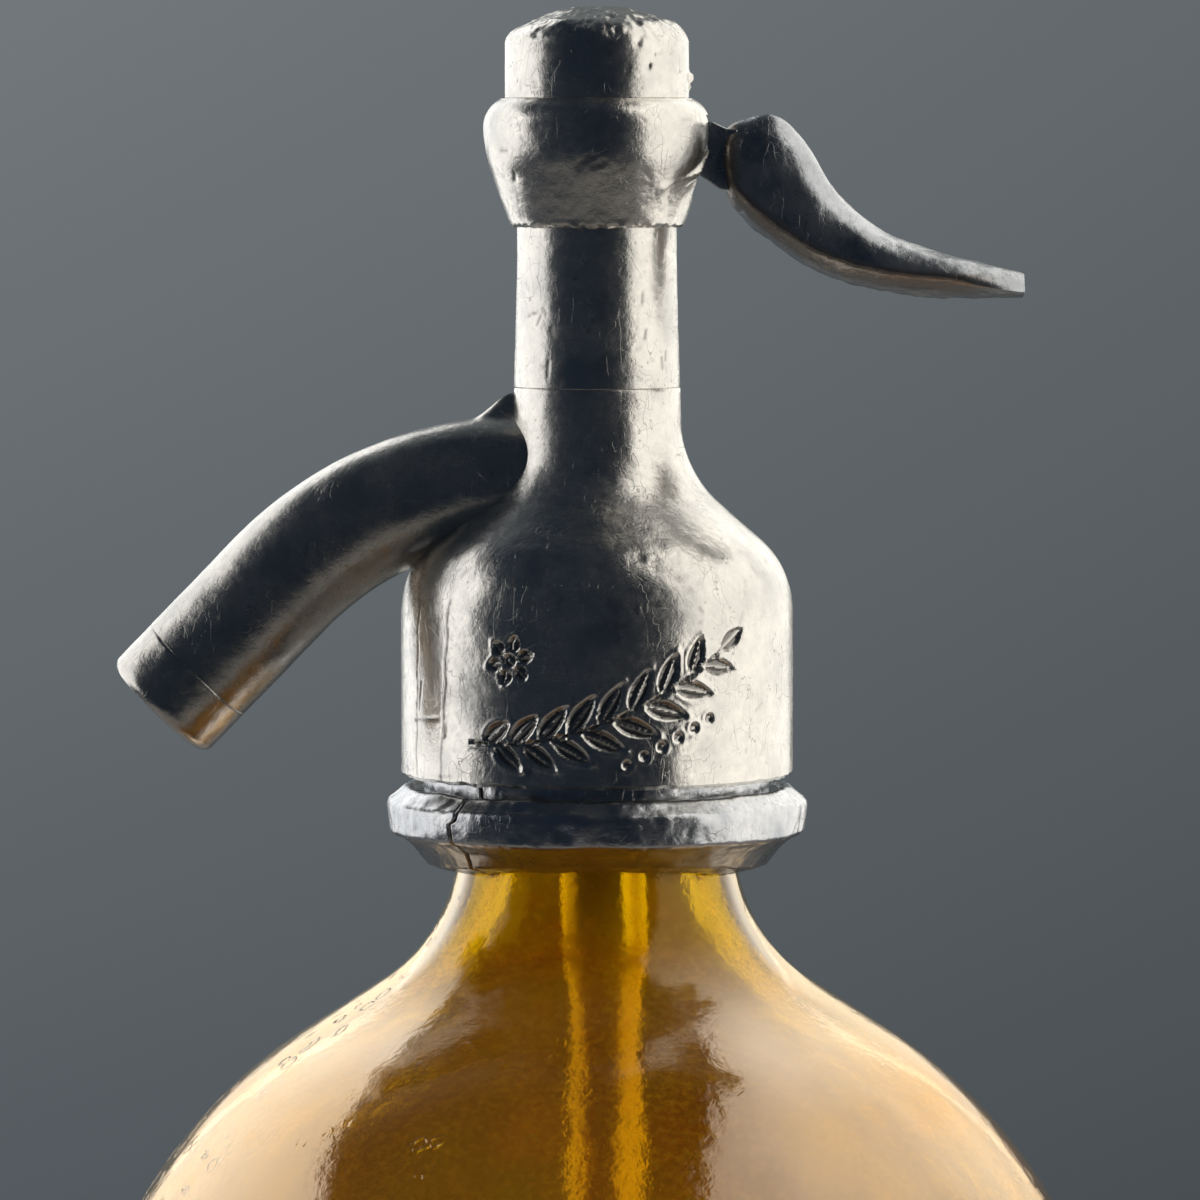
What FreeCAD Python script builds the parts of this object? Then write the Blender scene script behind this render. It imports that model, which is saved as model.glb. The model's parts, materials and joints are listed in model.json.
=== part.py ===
import FreeCAD, Part
import Sketcher
import math
import os
import re

# Soda siphon: a thick amber glass bottle with a cast pewter head. Millimetres, +Z up.
# The origin is the centre of the bottle's base. The spout points along -X, the lever along +X.
# Pressing the lever's outer end lifts the rod, which lifts the rubber washer off its seat, and the
# gas in the bottle pushes the water up the dip tube, through the chamber and out of the spout.
# Names ending in _r are radii from the siphon's axis, and names ending in _z are heights.

SIZES = {
    # Glass bottle
    "body_r": 56.0,
    "glass_wall": 4.5,
    "heel_bend": 9.0,
    "foot_inner_r": 38.0,
    "punt_rise": 6.0,
    "floor_thickness": 6.5,
    "shoulder_lean": 57.0,
    "shoulder_turn": 37.0,
    "shoulder_bend": 57.0,
    "shoulder_run": 9.9,
    "neck_bend": 19.0,
    "neck_r": 15.0,
    "neck_z": 229.9,
    "bead_z": 238.9,
    "bead_edge_z": 240.7,
    "bead_r": 17.5,
    "lip_z": 247.2,
    "lip_round": 1.0,
    # Split ring that clamps the head under the neck's bead
    "ring_z": 226.3,
    "ring_bore_r": 15.2,
    "ring_flare": 0.7,
    "ring_bevel_r": 18.2,
    "ring_bevel_z": 227.4,
    "ring_under_r": 20.0,
    "ring_under_z": 228.7,
    "ring_rim_r": 22.8,
    "ring_rim_z": 231.8,
    "ring_rim_height": 1.8,
    "ring_rim_round": 0.8,
    "ring_step_r": 20.6,
    "ring_step_z": 235.7,
    "ring_thread_r": 18.75,
    "ring_top_z": 247.0,
    "ring_bead_gap": 0.2,
    "ring_split_gap": 1.0,
    "ring_split_angle": 44.0,
    # Cast head: skirt, bell and neck
    "skirt_r": 21.3,
    "skirt_bore_r": 18.9,
    "skirt_z": 236.7,
    "skirt_chamfer": 0.5,
    "ceiling_z": 251.0,
    "bell_slope": 49.0,
    "bell_bend": 11.0,
    "bell_sweep": 12.0,
    "bell_neck_r": 9.15,
    "bell_neck_z": 275.3,
    "column_joint_z": 278.8,
    "column_foot_r": 9.0,
    # Valve chamber
    "seat_r": 6.5,
    "seat_z": 256.4,
    "chamber_r": 6.0,
    "chamber_top_z": 272.0,
    "packing_z": 274.0,
    "packing_r": 6.6,
    "packing_height": 2.4,
    "gland_ring_height": 0.8,
    # Gasket, holder and seal round the dip tube
    "gasket_bore_r": 8.4,
    "gasket_top_z": 249.4,
    "holder_flange_r": 17.2,
    "holder_sleeve_r": 8.0,
    "holder_z": 238.0,
    "seal_seat_r": 6.6,
    "seal_top_z": 242.5,
    "tube_r": 4.7,
    "tube_bore_r": 3.1,
    "tube_z": 15.0,
    "tube_top_z": 250.6,
    # Seat
    "seat_bore_r": 2.6,
    "seat_lip_r": 3.6,
    "seat_lip_z": 257.25,
    # Spout and nozzle
    "spout_r": 7.0,
    "spout_bore_r": 4.2,
    "spout_z": 268.6,
    "spout_bend": 36.0,
    "spout_bend_x": 8.4,
    "spout_turn": 46.0,
    "spout_run": 14.4,
    "spigot_r": 5.35,
    "spigot_x": 8.1,
    "outlet_r": 3.6,
    "web_out_x": 13.6,
    "web_top_x": 9.0,
    "web_top_z": 277.8,
    "web_half_width": 1.6,
    "nozzle_length": 5.4,
    "nozzle_r": 7.0,
    "nozzle_bore_r": 4.0,
    "nozzle_round": 0.8,
    "nozzle_spigot_r": 5.2,
    "nozzle_spigot_length": 4.0,
    # Column that carries the lever housing
    "column_r": 8.64,
    "column_taper_z": 292.6,
    "column_bore_r": 6.0,
    "column_floor_z": 281.0,
    "housing_z": 296.2,
    "column_spigot_r": 7.4,
    "column_top_z": 299.4,
    # Lever housing
    "housing_foot_r": 9.45,
    "housing_foot_round": 0.3,
    "housing_lean_r": 11.61,
    "housing_lean_z": 302.67,
    "housing_side_bend": 14.0,
    "housing_r": 12.3,
    "housing_waist_z": 307.0,
    "housing_shoulder_bend": 3.2,
    "housing_top_r": 10.5,
    "cap_joint_z": 310.05,
    "housing_bore_r": 8.4,
    "boss_half_width": 5.5,
    "boss_top_x": 12.3,
    "boss_top_z": 307.2,
    "boss_face_x": 12.6,
    "boss_face_top_z": 306.4,
    "boss_face_low_z": 305.4,
    "boss_chin_x": 11.2,
    "boss_chin_z": 301.9,
    "boss_low_x": 7.4,
    "boss_low_z": 299.7,
    "slot_half_width": 2.6,
    "slot_low_z": 299.55,
    "slot_top_z": 308.3,
    # Cap
    "cap_r": 9.95,
    "cap_side_z": 316.4,
    "cap_shoulder_bend": 2.4,
    "cap_crown_r": 7.6,
    "cap_crown_z": 318.7,
    "total_height": 320.0,
    "cap_thread_r": 8.35,
    "cap_thread_z": 308.4,
    "cap_bore_r": 6.6,
    "cap_roof_z": 316.5,
    # Valve rod and what rides on it
    "rod_r": 2.0,
    "rod_hole_r": 2.15,
    "packing_bore_r": 2.05,
    "rod_foot_z": 260.3,
    "rod_stud_r": 1.5,
    "collar_r": 3.0,
    "collar_z": 282.2,
    "collar_height": 1.2,
    "spring_washer_r": 5.4,
    "spring_washer_height": 1.0,
    "washer_r": 4.6,
    "washer_z": 257.3,
    "cup_r": 5.2,
    "cup_z": 258.2,
    "cup_top_z": 262.4,
    "screw_head_r": 2.0,
    "screw_head_z": 256.2,
    "screw_shank_r": 0.9,
    "screw_top_z": 266.0,
    "spring_r": 4.3,
    "spring_wire_r": 0.45,
    "spring_coils": 5.0,
    "retainer_z": 295.4,
    "retainer_height": 3.2,
    "retainer_slot_width": 1.2,
    "retainer_slot_depth": 1.0,
    "eye_r": 3.6,
    "eye_z": 299.2,
    "eye_top_z": 308.6,
    "eye_window_z": 301.6,
    "eye_window_top_z": 306.3,
    "eye_window_half_width": 1.65,
    "rod_top_z": 301.2,
    # Lever
    "pivot_x": 9.5,
    "pivot_z": 304.7,
    "pin_r": 1.0,
    "pin_front_y": 5.0,
    "pin_length": 12.6,
    "pin_hole_r": 1.05,
    "finger_r": 1.4,
    "finger_half_width": 1.4,
    "hub_r": 2.6,
    "tongue_half_width": 2.3,
    "tongue_end_x": 15.0,
    "tongue_top_x": 12.4,
    "tongue_top_z": 307.6,
    "tongue_notch_z": 306.8,
    "tongue_low_x": 11.1,
    "tongue_low_z": 301.8,
    "tongue_heel_z": 300.0,
    "blade_keel": 1.9,
    # Fits
    "fit_gap": 0.05,
}

# The lever's blade, section by section from its root to its tip: distance from the axis, height of
# the crest, height of the lower edge, and width.
BLADE_SECTIONS = {
    "root": (13.8, 306.7, 300.2, 6.0),
    "back": (16.0, 307.9, 297.0, 8.4),
    "hump": (18.8, 308.4, 294.6, 9.6),
    "brow": (22.0, 306.1, 292.3, 10.2),
    "fall": (25.3, 300.9, 290.7, 10.8),
    "foot": (29.1, 297.0, 289.6, 12.0),
    "leaf": (34.7, 294.2, 288.7, 13.2),
    "palm": (40.2, 292.6, 288.4, 13.2),
    "tip": (46.1, 291.2, 288.5, 10.4),
}

doc = FreeCAD.newDocument("soda_siphon")
sheet = doc.addObject("Spreadsheet::Sheet", "Sizes")
parts = []


# ---------------------------------------------------------------- the sheet and its expressions

def fill_sheet():
    """Write every driving dimension into the sheet, with its name as the cell's alias."""
    for section, (across, top, low, width) in BLADE_SECTIONS.items():
        SIZES[f"{section}_x"] = across
        SIZES[f"{section}_crest_z"] = top
        SIZES[f"{section}_low_z"] = low
        SIZES[f"{section}_width"] = width
    for row, (name, value) in enumerate(SIZES.items(), start=1):
        sheet.set(f"A{row}", name)
        sheet.set(f"B{row}", str(value))
        sheet.setAlias(f"B{row}", name)
    doc.recompute()


def bound(text):
    """Turn names of dimensions into references to the sheet's cells."""
    return re.sub(r"[a-z_]+", lambda word: f"Sizes.{word[0]}" if word[0] in SIZES else word[0], text)


def value(text):
    """Work an expression out from the sheet."""
    return float(sheet.evalExpression(bound(text)))


# ---------------------------------------------------------------- sketches

def new_body(label):
    body = doc.addObject("PartDesign::Body", label)
    body.Label = label
    parts.append(body)
    return body


def new_sketch(body, role, name, offset="0"):
    """A sketch on one of the body's own origin planes, moved along the plane's normal."""
    sketch = body.newObject("Sketcher::SketchObject", name)
    plane = next(feature for feature in body.Origin.OriginFeatures if feature.Role == role)
    sketch.AttachmentSupport = [(plane, "")]
    sketch.MapMode = "FlatFace"
    if offset != "0":
        sketch.setExpression("AttachmentOffset.Base.z", bound(offset))
    return sketch


def bind(sketch, kind, *place, text):
    """Add one dimension to a sketch and bind it to the sheet."""
    index = sketch.addConstraint(Sketcher.Constraint(kind, *place, value(text)))
    if bound(text) != text:
        sketch.renameConstraint(index, f"size_{index}")
        sketch.setExpression(f"Constraints.size_{index}", bound(text))


def arc_between(start, end, bend):
    """An arc from start to end, to the left of its centre line if bend is positive."""
    chord = end - start
    middle = (start + end) * 0.5
    height = math.sqrt(bend * bend - chord.Length * chord.Length / 4)
    left = FreeCAD.Vector(-chord.y, chord.x, 0).normalize()
    centre = middle + left * math.copysign(height, bend)
    first, last = (start, end) if bend > 0 else (end, start)
    angle_1 = math.atan2(first.y - centre.y, first.x - centre.x)
    angle_2 = math.atan2(last.y - centre.y, last.x - centre.x)
    circle = Part.Circle(centre, FreeCAD.Vector(0, 0, 1), abs(bend))
    return Part.ArcOfCircle(circle, angle_1, angle_2)


def path(sketch, corners, closed=True):
    """Draw an outline. A corner is (across, up), or (across, up, bend) where the edge after it is an arc.

    A positive bend has its centre on the left of the way round, and a negative one on the right.
    """
    places = [FreeCAD.Vector(value(corner[0]), value(corner[1]), 0) for corner in corners]
    edges = []
    for index, corner in enumerate(corners if closed else corners[:-1]):
        start = places[index]
        end = places[(index + 1) % len(places)]
        bend = value(corner[2]) if len(corner) == 3 else 0
        if bend:
            edge = sketch.addGeometry(arc_between(start, end, bend))
            bind(sketch, "Radius", edge, text=f"abs({corner[2]})")
        else:
            edge = sketch.addGeometry(Part.LineSegment(start, end))
        edges.append((edge, 2, 1) if bend < 0 else (edge, 1, 2))
    for index, (edge, first, last) in enumerate(edges):
        if closed or index + 1 < len(edges):
            following = edges[(index + 1) % len(edges)]
            sketch.addConstraint(Sketcher.Constraint("Coincident", edge, last, following[0], following[1]))
        bind(sketch, "DistanceX", -1, 1, edge, first, text=corners[index][0])
        bind(sketch, "DistanceY", -1, 1, edge, first, text=corners[index][1])
    if not closed:
        edge, _, last = edges[-1]
        bind(sketch, "DistanceX", -1, 1, edge, last, text=corners[-1][0])
        bind(sketch, "DistanceY", -1, 1, edge, last, text=corners[-1][1])


def ring(sketch, across, up, radius):
    """Draw a circle."""
    centre = FreeCAD.Vector(value(across), value(up), 0)
    circle = sketch.addGeometry(Part.Circle(centre, FreeCAD.Vector(0, 0, 1), value(radius)))
    bind(sketch, "Radius", circle, text=radius)
    bind(sketch, "DistanceX", -1, 1, circle, 3, text=across)
    bind(sketch, "DistanceY", -1, 1, circle, 3, text=up)


# ---------------------------------------------------------------- features

def turn(body, kind, corners, angle="360"):
    """Revolve an outline, given as radius and height, about the body's Z axis."""
    sketch = new_sketch(body, "XZ_Plane", f"{body.Label}_{kind}_outline")
    path(sketch, corners)
    feature = body.newObject(f"PartDesign::{kind}", f"{body.Label}_{kind}")
    feature.Profile = sketch
    feature.ReferenceAxis = (sketch, ["V_Axis"])
    feature.setExpression("Angle", bound(angle))
    return feature


def extrude(body, kind, sketch, length, midplane=False, reverse=False):
    """Pad or pocket a sketch by a length."""
    feature = body.newObject(f"PartDesign::{kind}", f"{sketch.Name}_{kind}")
    feature.Profile = sketch
    feature.setExpression("Length", bound(length))
    feature.Midplane = midplane
    feature.Reversed = reverse
    return feature


def slab(body, kind, corners, half_width):
    """Pad or pocket an outline drawn in the XZ plane, equally to both sides of it."""
    name = f"{body.Label}_{kind}_{len(body.Group)}"
    sketch = new_sketch(body, "XZ_Plane", name)
    path(sketch, corners)
    return extrude(body, kind, sketch, f"2*({half_width})", midplane=True)


def cross_hole(body, across, up, radius):
    """Drill a round hole along Y, right through."""
    sketch = new_sketch(body, "XZ_Plane", f"{body.Label}_hole")
    ring(sketch, across, up, radius)
    return extrude(body, "Pocket", sketch, "4*housing_r", midplane=True)


def turned(label, corners, angle="360"):
    """A sub-part that is one revolved outline."""
    body = new_body(label)
    turn(body, "Revolution", corners, angle)
    return body


def collar(label, inner, outer, low, high):
    """A sub-part that is a plain ring."""
    return turned(label, [(inner, low), (outer, low), (outer, high), (inner, high)])


# ---------------------------------------------------------------- bottle and what closes it

def glass_bottle():
    lean, thick = "shoulder_lean", "glass_wall"
    sweep_r = f"(neck_r + neck_bend*(1 - cos({lean})))"
    sweep_z = f"(neck_z - neck_bend*sin({lean}))"
    slope_r = f"({sweep_r} + shoulder_run*sin({lean}))"
    slope_z = f"({sweep_z} - shoulder_run*cos({lean}))"
    turn_r = f"({slope_r} + shoulder_bend*(cos(shoulder_turn) - cos({lean})))"
    turn_z = f"({slope_z} - shoulder_bend*(sin({lean}) - sin(shoulder_turn)))"
    side_bend = f"(body_r - {turn_r})/(1 - cos(shoulder_turn))"
    side_z = f"{turn_z} - {side_bend}*sin(shoulder_turn)"
    along_lean = (f"{thick}*cos({lean})", f"{thick}*sin({lean})")
    along_turn = (f"{thick}*cos(shoulder_turn)", f"{thick}*sin(shoulder_turn)")
    punt_bend = "(foot_inner_r^2 + punt_rise^2)/(2*punt_rise)"
    bore, inside = f"neck_r - {thick}", f"body_r - {thick}"
    turned("glass_bottle", [
        ("0", "punt_rise", f"-{punt_bend}"),
        ("foot_inner_r", "0"),
        ("body_r - heel_bend", "0", "heel_bend"),
        ("body_r", "heel_bend"),
        ("body_r", side_z, side_bend),
        (turn_r, turn_z, "shoulder_bend"),
        (slope_r, slope_z),
        (sweep_r, sweep_z, "-neck_bend"),
        ("neck_r", "neck_z"),
        ("neck_r", "bead_z"),
        ("bead_r", "bead_edge_z"),
        ("bead_r", "lip_z - lip_round", "lip_round"),
        ("bead_r - lip_round", "lip_z"),
        (f"{bore} + lip_round", "lip_z", "lip_round"),
        (bore, "lip_z - lip_round"),
        (bore, "neck_z", f"neck_bend + {thick}"),
        (f"{sweep_r} - {along_lean[0]}", f"{sweep_z} - {along_lean[1]}"),
        (f"{slope_r} - {along_lean[0]}", f"{slope_z} - {along_lean[1]}", f"-(shoulder_bend - {thick})"),
        (f"{turn_r} - {along_turn[0]}", f"{turn_z} - {along_turn[1]}", f"-({side_bend} - {thick})"),
        (inside, side_z),
        (inside, "floor_thickness + heel_bend", "-heel_bend"),
        (f"{inside} - heel_bend", "floor_thickness"),
        ("foot_inner_r", "floor_thickness", punt_bend),
        ("0", "punt_rise + floor_thickness"),
    ])


def split_ring(label, half_turn):
    """One half of the ring under the head. Both halves have the same outline."""
    body = turned(label, [
        ("ring_bore_r + ring_flare", "ring_z"),
        ("ring_bevel_r", "ring_bevel_z"),
        ("ring_under_r", "ring_under_z"),
        ("ring_rim_r", "ring_rim_z"),
        ("ring_rim_r", "ring_rim_z + ring_rim_height", "ring_rim_round"),
        ("ring_rim_r - ring_rim_round", "ring_rim_z + ring_rim_height + ring_rim_round"),
        ("ring_step_r + ring_split_gap/4", "ring_rim_z + ring_rim_height + ring_rim_round"),
        ("ring_step_r", "ring_step_z"),
        ("ring_thread_r", "ring_step_z + ring_split_gap/4"),
        ("ring_thread_r", "ring_top_z"),
        ("bead_r + ring_bead_gap", "ring_top_z"),
        ("bead_r + ring_bead_gap", "bead_edge_z - ring_bead_gap"),
        ("ring_bore_r", "bead_z - ring_bead_gap"),
        ("ring_bore_r", "neck_z"),
    ], angle="180 - ring_split_gap")
    body.Placement = FreeCAD.Placement(FreeCAD.Vector(), FreeCAD.Vector(0, 0, 1), half_turn)
    start = f"{half_turn} + 270 - ring_split_angle + ring_split_gap/2"
    body.setExpression("Placement.Rotation.Angle", bound(start))


def tube_and_seals():
    collar("neck_gasket", "gasket_bore_r", "holder_flange_r", "lip_z", "gasket_top_z")
    tube_hole, flange = "tube_r + fit_gap", "holder_flange_r"
    turned("tube_holder", [
        ("seal_seat_r", "holder_z"),
        ("holder_sleeve_r", "holder_z"),
        ("holder_sleeve_r", "gasket_top_z"),
        (flange, "gasket_top_z"),
        (flange, "ceiling_z"),
        (tube_hole, "ceiling_z"),
        (tube_hole, "seal_top_z"),
        ("seal_seat_r", "seal_top_z"),
    ])
    collar("tube_seal", "tube_r", "seal_seat_r", "holder_z + fit_gap", "seal_top_z")
    collar("dip_tube", "tube_bore_r", "tube_r", "tube_z", "tube_top_z")


# ---------------------------------------------------------------- cast head and spout

def bell_side():
    """The bell's outer side, from the skirt's top up to the neck."""
    bends = "(bell_bend + bell_sweep)"
    run = f"(skirt_r - bell_neck_r - {bends}*(1 - cos(bell_slope)))/tan(bell_slope)"
    low = f"bell_neck_z - {bends}*sin(bell_slope) - {run}"
    return [
        ("skirt_r", low, "bell_bend"),
        ("skirt_r - bell_bend*(1 - cos(bell_slope))", f"{low} + bell_bend*sin(bell_slope)"),
        ("bell_neck_r + bell_sweep*(1 - cos(bell_slope))", "bell_neck_z - bell_sweep*sin(bell_slope)",
         "-bell_sweep"),
        ("bell_neck_r", "bell_neck_z"),
    ]


def head_body():
    body = new_body("head_body")
    turn(body, "Revolution", [
        ("skirt_bore_r", "skirt_z"),
        ("skirt_r - skirt_chamfer", "skirt_z"),
        ("skirt_r", "skirt_z + skirt_chamfer"),
        *bell_side(),
        ("column_foot_r", "column_joint_z"),
        ("packing_r", "column_joint_z"),
        ("packing_r", "packing_z"),
        ("rod_hole_r", "packing_z"),
        ("rod_hole_r", "chamber_top_z"),
        ("chamber_r", "chamber_top_z"),
        ("chamber_r", "seat_z"),
        ("seat_r + fit_gap", "seat_z"),
        ("seat_r + fit_gap", "ceiling_z"),
        ("skirt_bore_r", "ceiling_z"),
    ])
    outlet = new_sketch(body, "YZ_Plane", "outlet")
    ring(outlet, "0", "spout_z", "outlet_r")
    extrude(body, "Pocket", outlet, "spigot_x + spigot_r")
    socket = new_sketch(body, "YZ_Plane", "spout_socket", offset="fit_gap - spigot_x")
    ring(socket, "0", "spout_z", "spigot_r + fit_gap")
    extrude(body, "Pocket", socket, "skirt_r - spigot_x")


def spout_end(run):
    """The place on the spout's centre line that is a run past the end of its bend."""
    across = f"-spout_bend_x - spout_bend*sin(spout_turn) - ({run})*cos(spout_turn)"
    up = f"spout_z - spout_bend*(1 - cos(spout_turn)) - ({run})*sin(spout_turn)"
    return across, up


def spout_pipe(body, kind, spine, radius):
    """Run a round section along the spout's centre line."""
    section = new_sketch(body, "YZ_Plane", f"{kind}_section", offset="-chamber_r")
    ring(section, "0", "spout_z", radius)
    feature = body.newObject(f"PartDesign::{kind}", f"spout_{kind}")
    feature.Profile = section
    feature.Spine = (spine, [])
    return feature


def spout_tube():
    body = new_body("spout_tube")
    spine = new_sketch(body, "XZ_Plane", "spout_spine")
    path(spine, [
        ("-chamber_r", "spout_z"),
        ("-spout_bend_x", "spout_z", "spout_bend"),
        spout_end("0"),
        spout_end("spout_run"),
    ], closed=False)
    spout_pipe(body, "AdditivePipe", spine, "spout_r")
    slab(body, "Pad", [
        ("-web_out_x", "spout_z"),
        ("-chamber_r", "spout_z"),
        ("-chamber_r", "web_top_z"),
        ("-web_top_x", "web_top_z"),
        ("-web_out_x", "spout_z + spout_r - fit_gap"),
    ], "web_half_width")
    turn(body, "Groove", [
        ("0", "skirt_z"),
        ("skirt_r", "skirt_z"),
        *bell_side(),
        ("bell_neck_r", "column_floor_z"),
        ("0", "column_floor_z"),
    ])
    spigot = new_sketch(body, "YZ_Plane", "spigot", offset="-spigot_x")
    ring(spigot, "0", "spout_z", "spigot_r")
    extrude(body, "Pad", spigot, "spout_r", reverse=True)
    spout_pipe(body, "SubtractivePipe", spine, "spout_bore_r")
    socket = new_sketch(body, "YZ_Plane", "nozzle_socket")
    across, up = spout_end("spout_run - nozzle_spigot_length - fit_gap")
    socket.AttachmentOffset = FreeCAD.Placement(FreeCAD.Vector(), FreeCAD.Vector(1, 0, 0), 1)
    socket.setExpression("AttachmentOffset.Base.z", bound(across))
    socket.setExpression("AttachmentOffset.Base.y", bound(up))
    socket.setExpression("AttachmentOffset.Rotation.Angle", bound("-spout_turn"))
    ring(socket, "0", "0", "nozzle_spigot_r + fit_gap")
    extrude(body, "Pocket", socket, "spout_run")


def spout_nozzle():
    """The nozzle is turned about its own Z axis and then leant into line with the spout's end."""
    body = turned("spout_nozzle", [
        ("nozzle_bore_r", "-nozzle_spigot_length"),
        ("nozzle_spigot_r", "-nozzle_spigot_length"),
        ("nozzle_spigot_r", "0"),
        ("nozzle_r", "0"),
        ("nozzle_r", "nozzle_length - nozzle_round", "nozzle_round"),
        ("nozzle_r - nozzle_round", "nozzle_length"),
        ("nozzle_bore_r", "nozzle_length"),
    ])
    across, up = spout_end("spout_run")
    body.Placement = FreeCAD.Placement(FreeCAD.Vector(), FreeCAD.Vector(0, 1, 0), 1)
    body.setExpression("Placement.Base.x", bound(across))
    body.setExpression("Placement.Base.z", bound(up))
    body.setExpression("Placement.Rotation.Angle", bound("270 - spout_turn"))


# ---------------------------------------------------------------- column, housing and cap

def valve_column():
    gland_top = "packing_z + packing_height + gland_ring_height"
    turned("valve_column", [
        ("rod_hole_r", gland_top),
        ("packing_r - fit_gap", gland_top),
        ("packing_r - fit_gap", "column_joint_z"),
        ("column_foot_r", "column_joint_z"),
        ("column_r", "column_taper_z"),
        ("column_r", "housing_z"),
        ("column_spigot_r", "housing_z"),
        ("column_spigot_r", "column_top_z"),
        ("column_bore_r", "column_top_z"),
        ("column_bore_r", "column_floor_z"),
        ("rod_hole_r", "column_floor_z"),
    ])


def gland():
    ring_z = "packing_z + packing_height"
    outer = "packing_r - fit_gap"
    collar("gland_packing", "packing_bore_r", outer, "packing_z", ring_z)
    collar("gland_ring", "rod_hole_r", outer, ring_z, f"{ring_z} + gland_ring_height")


def lever_housing():
    body = new_body("lever_housing")
    turn(body, "Revolution", [
        ("0", "housing_z"),
        ("housing_foot_r - housing_foot_round", "housing_z"),
        ("housing_foot_r", "housing_z + housing_foot_round"),
        ("housing_lean_r", "housing_lean_z", "housing_side_bend"),
        ("housing_r", "housing_waist_z", "housing_shoulder_bend"),
        ("housing_top_r", "cap_joint_z"),
        ("0", "cap_joint_z"),
    ])
    slab(body, "Pad", [
        ("boss_low_x", "boss_low_z"),
        ("boss_chin_x", "boss_chin_z"),
        ("boss_face_x", "boss_face_low_z"),
        ("boss_face_x", "boss_face_top_z"),
        ("boss_top_x", "boss_top_z"),
        ("boss_low_x", "boss_top_z"),
    ], "boss_half_width")
    turn(body, "Groove", [
        ("0", "housing_z - housing_foot_r"),
        ("column_spigot_r + fit_gap", "housing_z - housing_foot_r"),
        ("column_spigot_r + fit_gap", "column_top_z"),
        ("housing_bore_r", "column_top_z"),
        ("housing_bore_r", "cap_joint_z + housing_r"),
        ("0", "cap_joint_z + housing_r"),
    ])
    slab(body, "Pocket", [
        ("0", "slot_low_z"),
        ("2*housing_r", "slot_low_z"),
        ("2*housing_r", "slot_top_z"),
        ("0", "slot_top_z"),
    ], "slot_half_width")
    # The pin's hole comes in from the back and stops inside the front cheek.
    hole = new_sketch(body, "XZ_Plane", "pin_hole", offset="pin_front_y + fit_gap")
    ring(hole, "pivot_x", "pivot_z", "pin_r")
    extrude(body, "Pocket", hole, "2*housing_r")


def top_cap():
    turned("top_cap", [
        ("cap_bore_r", "cap_thread_z"),
        ("cap_thread_r", "cap_thread_z"),
        ("cap_thread_r", "cap_joint_z"),
        ("cap_r", "cap_joint_z"),
        ("cap_r", "cap_side_z", "cap_shoulder_bend"),
        ("cap_crown_r", "cap_crown_z", "(cap_crown_r^2 + (total_height - cap_crown_z)^2)"
                                       "/(2*(total_height - cap_crown_z))"),
        ("0", "total_height"),
        ("0", "cap_roof_z"),
        ("cap_bore_r", "cap_roof_z"),
    ])


def spring_retainer():
    body = new_body("spring_retainer")
    top, outer = "(retainer_z + retainer_height)", "column_bore_r - fit_gap"
    turn(body, "Revolution", [
        ("rod_hole_r", "retainer_z"),
        (outer, "retainer_z"),
        (outer, top),
        ("rod_hole_r", top),
    ])
    slab(body, "Pocket", [
        ("-column_r", f"{top} - retainer_slot_depth"),
        ("column_r", f"{top} - retainer_slot_depth"),
        ("column_r", f"{top} + retainer_slot_depth"),
        ("-column_r", f"{top} + retainer_slot_depth"),
    ], "retainer_slot_width/2")


# ---------------------------------------------------------------- valve

def valve_seat():
    turned("valve_seat", [
        ("seat_bore_r", "ceiling_z"),
        ("seat_r", "ceiling_z"),
        ("seat_r", "seat_z"),
        ("seat_lip_r", "seat_z"),
        ("seat_lip_r", "seat_lip_z"),
        ("seat_bore_r", "seat_lip_z"),
    ])


def valve_rod():
    turned("valve_rod", [
        ("0", "screw_top_z"),
        ("screw_shank_r", "screw_top_z"),
        ("screw_shank_r", "rod_foot_z"),
        ("rod_stud_r", "rod_foot_z"),
        ("rod_stud_r", "cup_top_z"),
        ("rod_r", "cup_top_z"),
        ("rod_r", "collar_z"),
        ("collar_r", "collar_z"),
        ("collar_r", "collar_z + collar_height"),
        ("rod_r", "collar_z + collar_height"),
        ("rod_r", "rod_top_z"),
        ("0", "rod_top_z"),
    ])


def valve_washers():
    collar("valve_washer", "screw_shank_r + fit_gap", "washer_r", "washer_z", "rod_foot_z")
    turned("washer_cup", [
        ("rod_stud_r", "rod_foot_z"),
        ("washer_r", "rod_foot_z"),
        ("washer_r", "cup_z"),
        ("cup_r", "cup_z"),
        ("cup_r", "cup_top_z"),
        ("rod_stud_r", "cup_top_z"),
    ])
    turned("washer_screw", [
        ("0", "screw_head_z"),
        ("screw_head_r", "screw_head_z"),
        ("screw_head_r", "washer_z"),
        ("screw_shank_r", "washer_z"),
        ("screw_shank_r", "screw_top_z"),
        ("0", "screw_top_z"),
    ])
    floor = "collar_z + collar_height"
    collar("spring_washer", "rod_r", "spring_washer_r", floor, f"{floor} + spring_washer_height")


def valve_spring():
    """An open coil, a wire's thickness clear of the washer and the retainer at its middle."""
    body = new_body("valve_spring")
    floor = "(collar_z + collar_height + spring_washer_height + spring_wire_r)"
    wire = new_sketch(body, "XZ_Plane", "spring_wire")
    ring(wire, "spring_r", floor, "spring_wire_r")
    coil = body.newObject("PartDesign::AdditiveHelix", "spring_coil")
    coil.Profile = wire
    coil.ReferenceAxis = (wire, ["V_Axis"])
    coil.Mode = "height-turns-growth"
    coil.setExpression("Height", bound(f"retainer_z - spring_wire_r - {floor}"))
    coil.setExpression("Turns", bound("spring_coils"))


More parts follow.
